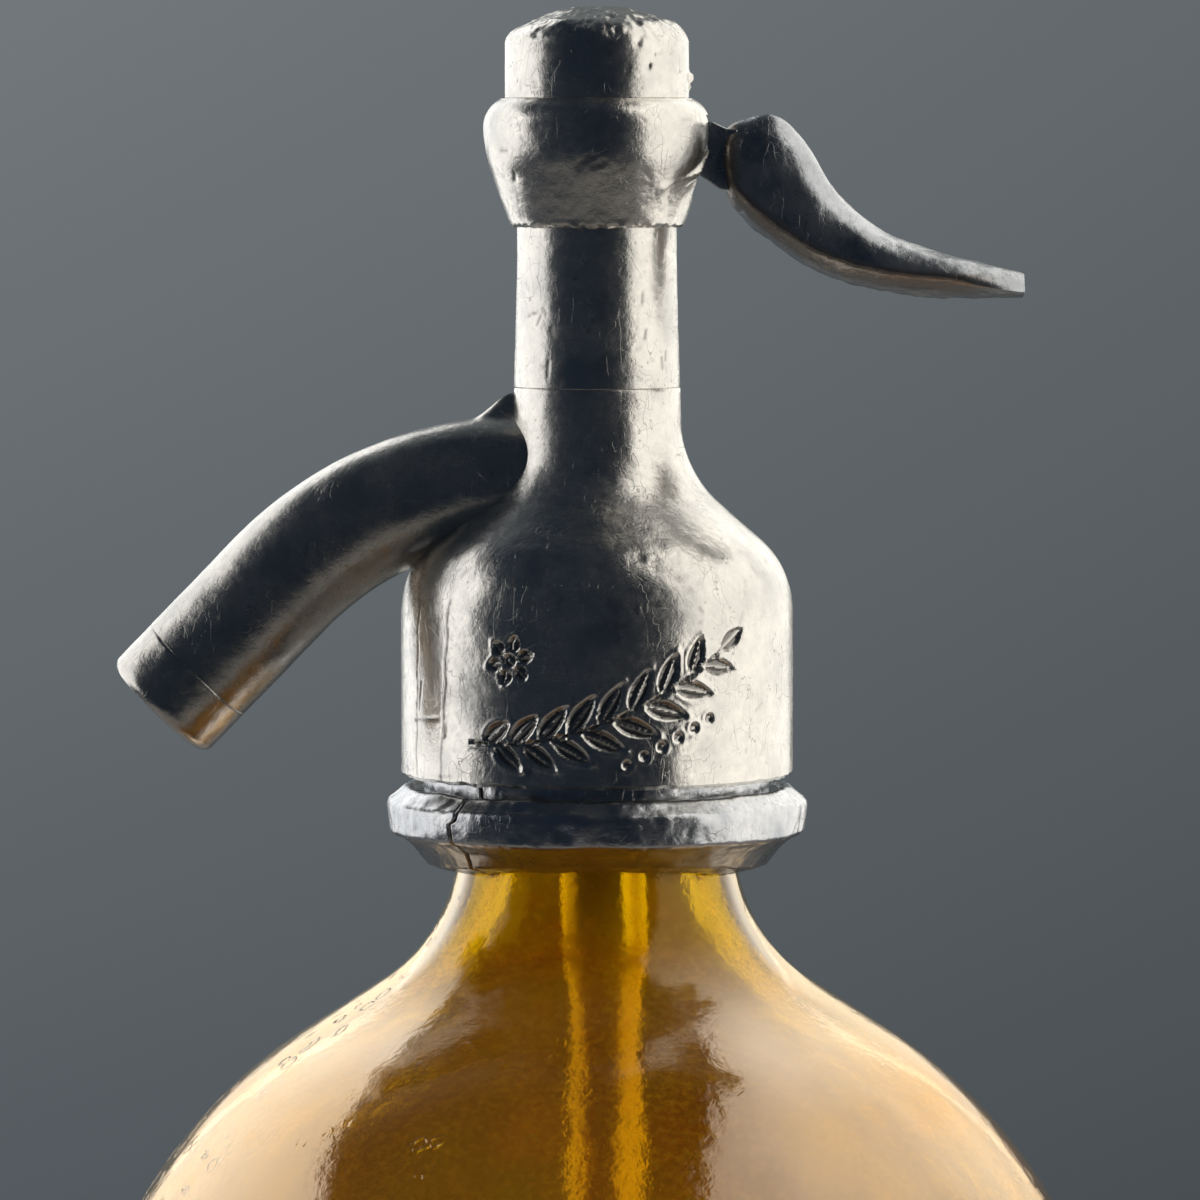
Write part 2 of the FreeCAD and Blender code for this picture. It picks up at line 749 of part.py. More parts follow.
def lift_eye():
    """The slotted head on top of the rod that the lever's finger lifts."""
    body = new_body("lift_eye")
    turn(body, "Revolution", [
        ("rod_r", "eye_z"),
        ("eye_r", "eye_z"),
        ("eye_r", "eye_top_z"),
        ("0", "eye_top_z"),
        ("0", "rod_top_z"),
        ("rod_r", "rod_top_z"),
    ])
    slab(body, "Pocket", [
        ("-2*eye_r", "eye_window_z"),
        ("2*eye_r", "eye_window_z"),
        ("2*eye_r", "eye_window_top_z"),
        ("-2*eye_r", "eye_window_top_z"),
    ], "eye_window_half_width")


# ---------------------------------------------------------------- lever

def blade_section(body, section):
    """One cross-section of the blade: a narrow keel, a crease where it is widest and a round crest."""
    across, crest, low, width = (f"{section}_{size}" for size in ("x", "crest_z", "low_z", "width"))
    depth = f"({crest} - {low})"
    crease = f"({low} + min(blade_keel; {depth}/2))"
    crest_half = f"(0.3*{width})"
    crest_drop = f"(0.2*{depth})"
    crest_bend = f"({crest_half}^2 + {crest_drop}^2)/(2*{crest_drop})"
    sketch = new_sketch(body, "YZ_Plane", f"blade_{section}", offset=across)
    path(sketch, [
        (f"-0.2*{width}", low),
        (f"0.2*{width}", low, f"0.6*{width}"),
        (f"0.5*{width}", crease, f"1.5*{depth}"),
        (crest_half, f"{crest} - {crest_drop}", crest_bend),
        (f"-{crest_half}", f"{crest} - {crest_drop}", f"1.5*{depth}"),
        (f"-0.5*{width}", crease, f"0.6*{width}"),
    ])
    return sketch


def lever():
    body = new_body("lever")
    profile, *rest = [blade_section(body, section) for section in BLADE_SECTIONS]
    blade = body.newObject("PartDesign::AdditiveLoft", "blade")
    blade.Profile = profile
    blade.Sections = rest
    slab(body, "Pad", [
        ("pivot_x", "pivot_z - hub_r"),
        ("tongue_low_x", "tongue_low_z"),
        ("tongue_end_x", "tongue_heel_z"),
        ("tongue_end_x", "tongue_notch_z"),
        ("tongue_top_x", "tongue_top_z"),
        ("pivot_x", "pivot_z + hub_r", "hub_r"),
        ("pivot_x - hub_r", "pivot_z", "hub_r"),
    ], "tongue_half_width")
    slab(body, "Pad", [
        ("0", "pivot_z - finger_r"),
        ("pivot_x", "pivot_z - finger_r"),
        ("pivot_x", "pivot_z + finger_r"),
        ("0", "pivot_z + finger_r", "finger_r"),
        ("-finger_r", "pivot_z", "finger_r"),
    ], "finger_half_width")
    cross_hole(body, "pivot_x", "pivot_z", "pin_hole_r")


def lever_pin():
    pin = doc.addObject("Part::Cylinder", "lever_pin")
    pin.Label = "lever_pin"
    pin.setExpression("Radius", bound("pin_r"))
    pin.setExpression("Height", bound("pin_length"))
    pin.Placement = FreeCAD.Placement(FreeCAD.Vector(), FreeCAD.Vector(1, 0, 0), -90)
    pin.setExpression("Placement.Base.x", bound("pivot_x"))
    pin.setExpression("Placement.Base.y", bound("-pin_front_y"))
    pin.setExpression("Placement.Base.z", bound("pivot_z"))
    parts.append(pin)


# ---------------------------------------------------------------- build, check and write

def build():
    fill_sheet()
    glass_bottle()
    split_ring("split_ring_right", 0)
    split_ring("split_ring_left", 180)
    tube_and_seals()
    head_body()
    valve_seat()
    spout_tube()
    spout_nozzle()
    gland()
    valve_column()
    spring_retainer()
    lever_housing()
    top_cap()
    valve_rod()
    valve_washers()
    valve_spring()
    lift_eye()
    lever()
    lever_pin()
    doc.recompute()


def check():
    """Stop before anything is written if an object failed or a sub-part isn't one sound solid."""
    failed = [item.Label for item in doc.Objects if {"Invalid", "Error"} & set(item.State)]
    for part in parts:
        shape = part.Shape
        if shape.isNull() or not shape.isValid() or len(shape.Solids) != 1:
            failed.append(f"{part.Label} (shape)")
    if failed:
        raise SystemExit("failed: " + ", ".join(failed))


def write():
    os.makedirs("parts", exist_ok=True)
    for part in parts:
        part.Shape.exportStep(f"parts/{part.Label}.step")
        box = part.Shape.BoundBox
        print(f"{part.Label:18s} {part.Shape.Volume:10.1f} mm3   x {box.XMin:7.2f} {box.XMax:7.2f}"
              f"   y {box.YMin:7.2f} {box.YMax:7.2f}   z {box.ZMin:7.2f} {box.ZMax:7.2f}")


build()
check()
write()
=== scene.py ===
import bisect
import json
import random
from itertools import pairwise
from math import asin, atan2, copysign, cos, degrees, exp, hypot, log, pi, radians, sin, sqrt, tan

import bmesh
import bpy
from mathutils import Matrix, Vector, kdtree, noise


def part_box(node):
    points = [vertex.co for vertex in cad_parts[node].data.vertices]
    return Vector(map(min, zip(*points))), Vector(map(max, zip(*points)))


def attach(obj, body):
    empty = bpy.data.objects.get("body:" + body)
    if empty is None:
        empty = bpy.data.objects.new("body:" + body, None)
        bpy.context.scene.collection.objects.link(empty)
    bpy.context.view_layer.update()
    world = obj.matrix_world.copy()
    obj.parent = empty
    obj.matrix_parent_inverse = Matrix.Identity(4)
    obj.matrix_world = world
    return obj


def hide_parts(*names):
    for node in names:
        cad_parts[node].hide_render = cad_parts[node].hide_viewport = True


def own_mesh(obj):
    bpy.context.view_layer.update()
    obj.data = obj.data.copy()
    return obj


# A soda siphon: a thick amber glass bottle that carries a cast pewter head, a spout and a lever.
# Shapes are made in millimetres, and a finished mesh is brought to metres. The spout points along -X
# and the lever along +X. An azimuth is in degrees from the front, -Y, and grows towards the lever.
# Names ending in _R are radii, and names ending in _Z are heights.

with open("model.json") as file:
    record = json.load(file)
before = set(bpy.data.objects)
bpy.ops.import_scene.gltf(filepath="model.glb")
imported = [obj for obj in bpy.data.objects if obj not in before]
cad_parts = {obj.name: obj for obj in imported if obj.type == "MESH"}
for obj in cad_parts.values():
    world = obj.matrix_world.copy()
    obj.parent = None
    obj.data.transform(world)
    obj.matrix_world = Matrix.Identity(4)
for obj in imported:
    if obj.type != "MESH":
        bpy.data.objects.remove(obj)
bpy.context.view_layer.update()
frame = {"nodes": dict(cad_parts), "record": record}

MM = 0.001
WELD = 0.002
AXIS = Vector((0, 0, 1))
Z_TO_X = Matrix.Rotation(radians(90), 4, "Y")


def edge_of(node, corner):
    """The lowest (0) or highest (1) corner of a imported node, in millimetres."""
    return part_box(node)[corner] / MM


# ---- driving sizes

BODY_R = edge_of("glass_bottle", 1).x
LIP_Z = edge_of("glass_bottle", 1).z
SKIRT_R = edge_of("head_body", 1).x
SKIRT_Z = edge_of("head_body", 0).z
JOINT_Z = edge_of("head_body", 1).z
COLUMN_FOOT_R = edge_of("valve_column", 1).x
HOUSING_Z = edge_of("lever_housing", 0).z
CAP_JOINT_Z = edge_of("lever_housing", 1).z
CAP_R = edge_of("top_cap", 1).x
TOP_Z = edge_of("top_cap", 1).z
RING_Z = edge_of("split_ring_right", 0).z
RING_TOP_Z = edge_of("split_ring_right", 1).z
TUBE_R = edge_of("dip_tube", 1).x

SPOUT_R = 7.0
SPOUT_BORE_R = 4.2
SPOUT_ROOT = Vector((-8.4, 0, 268.6))
SPOUT_BEND = 36.0
SPOUT_TURN = 46.0
SPOUT_RUN = 13.1
SPOUT_WAY = Vector((-cos(radians(SPOUT_TURN)), 0, -sin(radians(SPOUT_TURN))))
SPLIT_AZIMUTH = -44.0
PIVOT = Vector((9.5, 0, 304.7))


# ---- mesh tools

def arc(start, end, bend):
    """Centre and turn about +Y of the arc from start to end. A positive bend has its centre on the left."""
    chord = end - start
    left = Vector((-chord.z, 0, chord.x)).normalized()
    rise = sqrt(bend * bend - chord.length_squared / 4)
    centre = (start + end) / 2 + left * copysign(rise, bend)
    return centre, -copysign(2 * asin(chord.length / abs(2 * bend)), bend)


def verts_of(geom):
    return [item for item in geom if isinstance(item, bmesh.types.BMVert)]


def edges_of(geom):
    return [item for item in geom if isinstance(item, bmesh.types.BMEdge)]


def weld(bm):
    bmesh.ops.remove_doubles(bm, verts=bm.verts, dist=WELD)


def draw(bm, corners, gap):
    """Draw an outline in the XZ plane, with points about a gap apart.

    A corner is (across, up), or (across, up, bend) where the way to the next corner is an arc.
    """
    point = bm.verts.new((corners[0][0], 0, corners[0][1]))
    for corner, following in pairwise(corners):
        end = Vector((following[0], 0, following[1]))
        if len(corner) == 3:
            centre, turn = arc(point.co, end, corner[2])
            steps = max(4, round(abs(turn * corner[2]) / gap))
            spun = bmesh.ops.spin(bm, geom=[point], cent=centre, axis=(0, 1, 0), angle=turn, steps=steps)
            point = verts_of(spun["geom_last"])[0]
            point.co = end
        else:
            start = point.co.copy()
            steps = max(1, round((end - start).length / gap))
            for step in range(steps):
                point = bmesh.ops.extrude_vert_indiv(bm, verts=[point])["verts"][0]
                point.co = start.lerp(end, (step + 1) / steps)


def revolve(bm, steps, start=0.0, sweep=360.0):
    """Turn the drawn outline about the siphon's axis, from one azimuth on.

    An eighth of the way is spun, and it is doubled three times, which is much quicker than one spin.
    """
    weld(bm)
    bmesh.ops.rotate(bm, verts=bm.verts, matrix=Matrix.Rotation(radians(start - 90), 3, "Z"))
    angle = radians(sweep) / 8
    bmesh.ops.spin(bm, geom=bm.verts[:] + bm.edges[:], axis=AXIS, angle=angle, steps=steps // 8)
    for _ in range(3):
        copied = bmesh.ops.duplicate(bm, geom=bm.verts[:] + bm.edges[:] + bm.faces[:])["geom"]
        bmesh.ops.rotate(bm, verts=verts_of(copied), matrix=Matrix.Rotation(angle, 3, "Z"))
        angle *= 2
    weld(bm)


def solid(bm):
    """Weld a closed shell and turn its faces outwards."""
    weld(bm)
    bmesh.ops.recalc_face_normals(bm, faces=bm.faces)
    bm.normal_update()


def turned(steps, *outlines, lie=None):
    """A closed skin of revolution, from outlines that join on, each with a gap of its own."""
    bm = bmesh.new()
    for corners, gap in outlines:
        draw(bm, corners, gap)
    revolve(bm, steps)
    if lie is not None:
        bmesh.ops.transform(bm, matrix=lie, verts=bm.verts)
    solid(bm)
    return bm


def soften(bm, edges, offset, segments):
    """Round edges off."""
    bmesh.ops.bevel(bm, geom=edges, offset=offset, offset_type="OFFSET", affect="EDGES", segments=segments,
                    profile=0.5, material=-1, clamp_overlap=True)


def meshed(bm, name):
    mesh = bpy.data.meshes.new(name)
    bm.to_mesh(mesh)
    bm.free()
    return mesh


def linked(name, data):
    """A new object in the scene."""
    made = bpy.data.objects.new(name, data)
    bpy.context.scene.collection.objects.link(made)
    return made


def piece(bm, name, body, slot, crease=38.0):
    """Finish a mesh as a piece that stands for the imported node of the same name."""
    bmesh.ops.scale(bm, vec=(MM, MM, MM), verts=bm.verts)
    mesh = meshed(bm, name)
    mesh.materials.append(FINISHES[slot])
    mesh.shade_smooth()
    mesh.set_sharp_from_angle(angle=radians(crease))
    made = linked(f"{name}_form", mesh)
    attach(made, body)
    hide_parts(name)
    return made


def azimuth(place):
    return degrees(atan2(place.x, -place.y))


def around(azimuth_a, azimuth_b):
    """The turn from one azimuth to another, between -180 and 180 degrees."""
    return (azimuth_b - azimuth_a + 180) % 360 - 180


def outward(place):
    return Vector((place.x, place.y, 0)).normalized()


def heading(angle):
    return Vector((cos(angle), sin(angle)))


def unrolled(place, radius):
    """A place laid out flat from the front, as on a cylinder of a radius."""
    return radians(azimuth(place)) * radius, place.z


def search_tree(flat):
    tree = kdtree.KDTree(len(flat))
    for index, place in enumerate(flat):
        tree.insert((*place, 0), index)
    tree.balance()
    return tree


def smooth_step(low, high, value):
    share = min(1.0, max(0.0, (value - low) / (high - low)))
    return share * share * (3 - 2 * share)


def noise_place(place, size, seed):
    return place / size + Vector((seed * 7.3, seed * 3.1, seed * 5.7))


def lumps(place, size, seed):
    """Soft noise between -1 and 1, in lumps of about a size in millimetres."""
    return noise.noise(noise_place(place, size, seed))


def roughen(bm, depth, size, seed, fine=0.45, where=None):
    """Move the surface in and out, in lumps of a size and in three finer ones that each fade by a share."""
    bm.normal_update()
    finer = 2.3
    fade = -log(fine) / log(finer)
    moves = [
        (vert, vert.normal * depth * noise.fractal(noise_place(vert.co, size, seed), fade, finer, 4))
        for vert in bm.verts if where is None or where(vert.co)
    ]
    for vert, move in moves:
        vert.co += move


def gouge(bm, marks, dirt=0.0):
    """Press marks into the outer side: azimuth, height, length, lean from upright, width and depth.

    A negative depth raises a crumb instead. Dirt is the share of grime in the middle of a mark.
    """
    bm.normal_update()
    grime_and_painted_shade = bm.verts.layers.float.get("grime_and_painted_shade") or bm.verts.layers.float.new("grime_and_painted_shade")
    outer = [vert for vert in bm.verts if vert.normal.dot(outward(vert.co)) > 0.05]
    near = min(hypot(vert.co.x, vert.co.y) for vert in outer)
    tree = search_tree([unrolled(vert.co, near) for vert in outer])
    for mark_azimuth, height, length, lean, width, depth in marks:
        tilt = radians(lean)
        middle = (radians(mark_azimuth) * near, height, 0)
        for _, index, _ in tree.find_range(middle, length / 2 + 2 * width):
            vert = outer[index]
            radius = hypot(vert.co.x, vert.co.y)
            side = radians(around(mark_azimuth, azimuth(vert.co))) * radius
            up = vert.co.z - height
            along = side * sin(tilt) + up * cos(tilt)
            across = side * cos(tilt) - up * sin(tilt)
            past = max(0.0, abs(along) - length / 2)
            share = exp(-(across * across + past * past) / (width * width))
            vert.co -= vert.normal * depth * share
            vert[grime_and_painted_shade] = max(vert[grime_and_painted_shade], dirt * share)


def paint_grime_and_shade(bm, share):
    """Give each point its share of grime and painted shade, which the caller works out."""
    grime_and_painted_shade = bm.verts.layers.float.new("grime_and_painted_shade")
    for vert in bm.verts:
        vert[grime_and_painted_shade] = share(vert)


def scattered(seed, count, azimuths, heights, length, width, depth):
    """Random marks for gouge, between two azimuths and two heights."""
    lot = random.Random(seed).uniform
    return [
        (lot(*azimuths), lot(*heights), lot(0.2, 1.0) * length,
         lot(-90, 90), lot(0.5, 1.0) * width, lot(0.3, 1.0) * depth)
        for _ in range(count)
    ]


# ---- material tools

def add(tree, kind, inputs=(), **settings):
    """Add a shader node of a kind with its settings, and give its sockets values or links."""
    made = tree.nodes.new(f"ShaderNode{kind}")
    for name, setting in settings.items():
        setattr(made, name, setting)
    for name, value in dict(inputs).items():
        if isinstance(value, bpy.types.NodeSocket):
            tree.links.new(value, made.inputs[name])
        else:
            made.inputs[name].default_value = value
    return made


FINISHES = {}


def new_material(name):
    """Start a finish, kept under its name: its node tree, the object's own coordinates and its output."""
    material = bpy.data.materials.new(name)
    FINISHES[name] = material
    material.use_nodes = True
    tree = material.node_tree
    tree.nodes.clear()
    coordinates = add(tree, "TexCoord").outputs["Object"]
    output = add(tree, "OutputMaterial")
    return tree, coordinates, output


def stretched(tree, coordinates, scale, turn=(0, 0, 0)):
    values = {"Vector": coordinates, "Rotation": [radians(angle) for angle in turn], "Scale": scale}
    return add(tree, "Mapping", values).outputs[0]


def grain(tree, coordinates, size, detail=4.0, roughness=0.55):
    """Noise between about 0.2 and 0.8, in lumps of a size in millimetres."""
    values = {"Vector": coordinates, "Scale": 1 / MM / size, "Detail": detail, "Roughness": roughness}
    return add(tree, "TexNoise", values).outputs["Fac"]


def spread(tree, value, low, high, to_low=0.0, to_high=1.0):
    """Stretch a value's range low..high over another, and clamp it."""
    values = {"Value": value, "From Min": low, "From Max": high, "To Min": to_low, "To Max": to_high}
    return add(tree, "MapRange", values).outputs["Result"]


def work_out(tree, operation, first, second=0.0):
    return add(tree, "Math", {0: first, 1: second}, operation=operation).outputs[0]


def times(tree, first, second):
    return work_out(tree, "MULTIPLY", first, second)


def larger(tree, first, second):
    return work_out(tree, "MAXIMUM", first, second)


def painted(tree, name):
    """A share that each point of the mesh carries."""
    return add(tree, "Attribute", attribute_name=name).outputs["Fac"]


def blended(tree, share, first, second):
    """Mix two colours."""
    return add(tree, "Mix", {0: share, 6: first, 7: second}, data_type="RGBA").outputs[2]


def hairlines(tree, coordinates, size, width):
    """Thin wandering lines, where a soft noise crosses its middle."""
    field = grain(tree, coordinates, size, detail=2.0, roughness=0.5)
    off_line = work_out(tree, "ABSOLUTE", work_out(tree, "SUBTRACT", field, 0.5))
    return spread(tree, off_line, 0.0, width, 1.0, 0.0)


def bumped(tree, height, depth, normal=None):
    values = {"Height": height, "Distance": depth * MM}
    if normal is not None:
        values["Normal"] = normal
    return add(tree, "Bump", values).outputs["Normal"]


def cover(tree, output, values):
    """Make one shader the whole surface."""
    shader = add(tree, "BsdfPrincipled", values)
    tree.links.new(shader.outputs[0], output.inputs["Surface"])


# ---- materials

def pewter(name, bright, dull, grime_and_painted_shade, satin, dullness, relief, chalk):
    """Cast tin alloy: cloudy tarnish, fine pits with grime in them, hairline scratches, satin gloss.

    Chalk is the share of full tarnish that no longer shines like metal.
    """
    tree, place, output = new_material(name)
    clouds = grain(tree, place, 7.0, detail=6.0, roughness=0.62)
    skin = grain(tree, place, 1.1, detail=5.0, roughness=0.66)
    tarnish = spread(tree, clouds, 0.44 - dullness, 0.72 - dullness)
    patches = spread(tree, grain(tree, place, 4.0, detail=3.0), 0.54, 0.68)
    cells = add(tree, "TexVoronoi", {"Vector": place, "Scale": 1 / MM / 0.9})
    pits = times(tree, spread(tree, cells.outputs["Distance"], 0.06, 0.26, 1.0, 0.0), patches)
    upright = hairlines(tree, stretched(tree, place, (1.0, 1.0, 0.22), (24, -19, 0)), 2.2, 0.006)
    slanting = hairlines(tree, stretched(tree, place, (1.0, 0.2, 1.0), (0, 38, 24)), 2.6, 0.005)
    worn = spread(tree, grain(tree, place, 5.0, detail=2.0), 0.44, 0.58)
    scratches = times(tree, larger(tree, upright, slanting), worn)
    dirt = larger(tree, times(tree, pits, 0.7), times(tree, scratches, 0.6))
    carried_grime_and_shade = painted(tree, "grime_and_painted_shade")

    mottle = spread(tree, skin, 0.34, 0.68)
    colour = blended(tree, larger(tree, times(tree, mottle, 0.55), tarnish), bright, dull)
    # The mesh's share mixes in the grime colour: real grime in stamps and marks, painted shade on
    # undersides and at the lever's root, and a painted reflection along the lever's keel band.
    colour = blended(tree, larger(tree, dirt, carried_grime_and_shade), colour, grime_and_painted_shade)
    gloss = spread(tree, skin, 0.3, 0.7, satin - 0.04, satin + 0.04)
    gloss = work_out(tree, "ADD", gloss, times(tree, tarnish, 0.05))
    normal = bumped(tree, clouds, 0.16 * relief)
    normal = bumped(tree, skin, 0.034 * relief, normal)
    normal = bumped(tree, work_out(tree, "SUBTRACT", 1.0, dirt), 0.014 * relief, normal)
    bare = spread(tree, larger(tree, tarnish, carried_grime_and_shade), 0.0, 1.0, 1.0, 1.0 - chalk)
    cover(tree, output, {"Base Color": colour, "Metallic": bare, "Roughness": gloss, "Normal": normal})


LUSTRE_PALE = (1.0, 0.92, 0.82, 1)
LUSTRE_DEEP = (1.0, 0.63, 0.23, 1)
PEARL = (1.0, 0.97, 0.95, 1)
# The heights, in metres, over which the pearly film sets in.
PEARL_Z = (0.203, 0.217)


def blown_glass(name, density, tint):
    """Thick glass whose colour comes from its depth.

    The "lustre" of a point is its share of a worn shiny film, which is pearly on the neck's front, and its
    "limescale" of pale specks. Lamps shine through the wall.
    """
    tree, place, output = new_material(name)
    outside = painted(tree, "lustre")
    waves = grain(tree, place, 14.0, detail=2.0, roughness=0.4)
    skin = grain(tree, place, 2.2, detail=5.0, roughness=0.62)
    wander = add(tree, "TexNoise", {"Vector": place, "Scale": 700.0}).outputs["Color"]
    wander = add(tree, "VectorMath", {0: wander, "Scale": 0.0016}, operation="SCALE").outputs[0]
    strayed = add(tree, "VectorMath", {0: place, 1: wander}, operation="ADD").outputs[0]
    cells = add(tree, "TexVoronoi", {"Vector": strayed, "Scale": 1 / MM / 3.2})
    off_rim = work_out(tree, "ABSOLUTE", work_out(tree, "SUBTRACT", cells.outputs["Distance"], 0.26))
    blisters = spread(tree, off_rim, 0.0, 0.08, 1.0, 0.0)
    parts = add(tree, "SeparateXYZ", {0: place}).outputs
    to_left = spread(tree, parts["X"], -0.012, 0.012, 1.0, 0.15)
    in_front = times(tree, spread(tree, parts["Y"], 0.0, 0.006, 1.0, 0.0), spread(tree, outside, 0.3, 0.8))
    pearly = times(tree, spread(tree, parts["Z"], *PEARL_Z), in_front)
    blistered = times(tree, spread(tree, grain(tree, place, 14.0, detail=1.0), 0.5, 0.64), to_left)
    blisters = times(tree, times(tree, blisters, blistered), outside)
    specks = grain(tree, place, 0.8, roughness=0.6)
    normal = bumped(tree, waves, 0.30)
    normal = bumped(tree, skin, 0.05, normal)
    normal = bumped(tree, blisters, 0.10, normal)
    sheen = bumped(tree, specks, 0.012, normal)
    streaks = grain(tree, stretched(tree, place, (1.0, 1.0, 0.5)), 26.0, detail=3.0, roughness=0.6)
    film = times(tree, outside, spread(tree, streaks, 0.36, 0.6, 0.6, 1.0))
    film = times(tree, film, spread(tree, blisters, 0.0, 1.0, 1.0, 0.55))
    clouds = spread(tree, grain(tree, place, 38.0, roughness=0.6), 0.38, 0.60)
    deep = larger(tree, clouds, spread(tree, outside, 0.8, 1.0, 1.0, 0.0))
    lustre = blended(tree, pearly, blended(tree, deep, LUSTRE_PALE, LUSTRE_DEEP), PEARL)
    crust = times(tree, painted(tree, "limescale"), spread(tree, specks, 0.46, 0.72, 0.0, 0.24))
    gloss = spread(tree, skin, 0.35, 0.7, 0.0, 0.03)
    values = {
        "Base Color": blended(tree, film, (1, 1, 1, 1), lustre), "Roughness": gloss, "IOR": 1.52,
        "Metallic": times(tree, film, spread(tree, pearly, 0.0, 1.0, 0.5, 0.85)),
        "Transmission Weight": work_out(tree, "SUBTRACT", 1.0, crust), "Normal": sheen,
        "Specular IOR Level": 0.12, "Specular Tint": (1.0, 0.78, 0.42, 1),
        "Coat Weight": times(tree, film, 0.3), "Coat Roughness": 0.03, "Coat IOR": 2.2,
        "Coat Normal": normal,
    }
    shader = add(tree, "BsdfPrincipled", values)
    depth = add(tree, "VolumeAbsorption", {"Color": tint, "Density": density})
    clear = add(tree, "BsdfTransparent", {"Color": (1.0, 0.98, 0.94, 1)})
    from_lamp = add(tree, "LightPath").outputs["Is Shadow Ray"]
    surface = add(tree, "MixShader", {0: from_lamp, 1: shader.outputs[0], 2: clear.outputs[0]})
    tree.links.new(surface.outputs[0], output.inputs["Surface"])
    tree.links.new(depth.outputs[0], output.inputs["Volume"])


def opal_glass(name, milk, stain):
    """Milky tubing with a polished skin."""
    tree, place, output = new_material(name)
    cloud = spread(tree, grain(tree, stretched(tree, place, (1.0, 1.0, 0.25)), 5.0), 0.35, 0.7)
    skin = grain(tree, place, 1.2, detail=3.0)
    cover(tree, output, {
        "Base Color": blended(tree, cloud, milk, stain), "Metallic": 0.65, "IOR": 1.5,
        "Roughness": spread(tree, skin, 0.3, 0.7, 0.15, 0.3), "Normal": bumped(tree, skin, 0.03),
        "Coat Weight": 1.0, "Coat Roughness": 0.1,
    })


def plain_metal(name, bright, dull, satin):
    """Turned or drawn metal with faint rings round its axis."""
    tree, place, output = new_material(name)
    rings = grain(tree, stretched(tree, place, (0.02, 0.02, 1.0)), 0.25, detail=2.0)
    stain = spread(tree, grain(tree, place, 3.0), 0.4, 0.7)
    colour = blended(tree, stain, bright, dull)
    gloss = spread(tree, rings, 0.3, 0.7, satin - 0.08, satin + 0.08)
    normal = bumped(tree, rings, 0.01)
    cover(tree, output, {"Base Color": colour, "Metallic": 1.0, "Roughness": gloss, "Normal": normal})


def moulded_rubber(name, fresh, worn):
    tree, place, output = new_material(name)
    bloom = spread(tree, grain(tree, place, 2.0), 0.4, 0.65)
    skin = grain(tree, place, 0.3, detail=3.0)
    cover(tree, output, {
        "Base Color": blended(tree, bloom, fresh, worn), "Normal": bumped(tree, skin, 0.02),
        "Roughness": spread(tree, skin, 0.3, 0.7, 0.55, 0.8),
    })


# Each grime colour also paints shade on undersides and at the lever's root, and the lever's brown one
# stands for the painted reflection of the amber bottle along its keel band.
pewter("head_pewter", (0.84, 0.81, 0.75, 1), (0.62, 0.61, 0.58, 1), (0.13, 0.125, 0.12, 1),
       satin=0.23, dullness=0.03, relief=1.0, chalk=0.08)
pewter("ring_pewter", (0.74, 0.74, 0.74, 1), (0.40, 0.43, 0.47, 1), (0.06, 0.055, 0.055, 1),
       satin=0.23, dullness=0.02, relief=1.1, chalk=0.06)
pewter("lever_pewter", (0.54, 0.56, 0.58, 1), (0.31, 0.33, 0.35, 1), (0.21, 0.18, 0.16, 1),
       satin=0.28, dullness=0.02, relief=1.5, chalk=0.24)
blown_glass("amber_glass", density=600.0, tint=(0.978, 0.905, 0.0, 1))
opal_glass("tube_glass", (1.0, 0.80, 0.52, 1), (0.97, 0.69, 0.38, 1))
plain_metal("brass", (0.72, 0.53, 0.24, 1), (0.45, 0.31, 0.14, 1), 0.3)
plain_metal("steel", (0.55, 0.55, 0.54, 1), (0.32, 0.31, 0.30, 1), 0.32)
plain_metal("spring_steel", (0.48, 0.49, 0.5, 1), (0.3, 0.3, 0.31, 1), 0.28)
moulded_rubber("rubber", (0.05, 0.035, 0.028, 1), (0.16, 0.12, 0.09, 1))


# ---- bottle and dip tube

GLASS_WALL = 4.5
HEEL_BEND = 9.0
FOOT_INNER_R = 38.0
PUNT_RISE = 6.0
FLOOR = 6.5
SHOULDER_LEAN = radians(57)
SHOULDER_TURN = radians(37)
SHOULDER_BEND = 57.0
SHOULDER_RUN = 9.9
NECK_BEND = 19.0
NECK_R = 15.0
NECK_Z = 229.9
BEAD_Z = 238.9
BEAD_EDGE_Z = 240.7
BEAD_R = 17.5
LIP_ROUND = 1.0
# The heights over which the film fades out towards the neck, and the dip tube widens to its full size.
FILM_FADE_Z = (207, 221)
TUBE_TAPER_Z = (207, 216)
TUBE_BORE_R = 3.1
TUBE_BOW = 0.9
TUBE_SLIM = 0.16


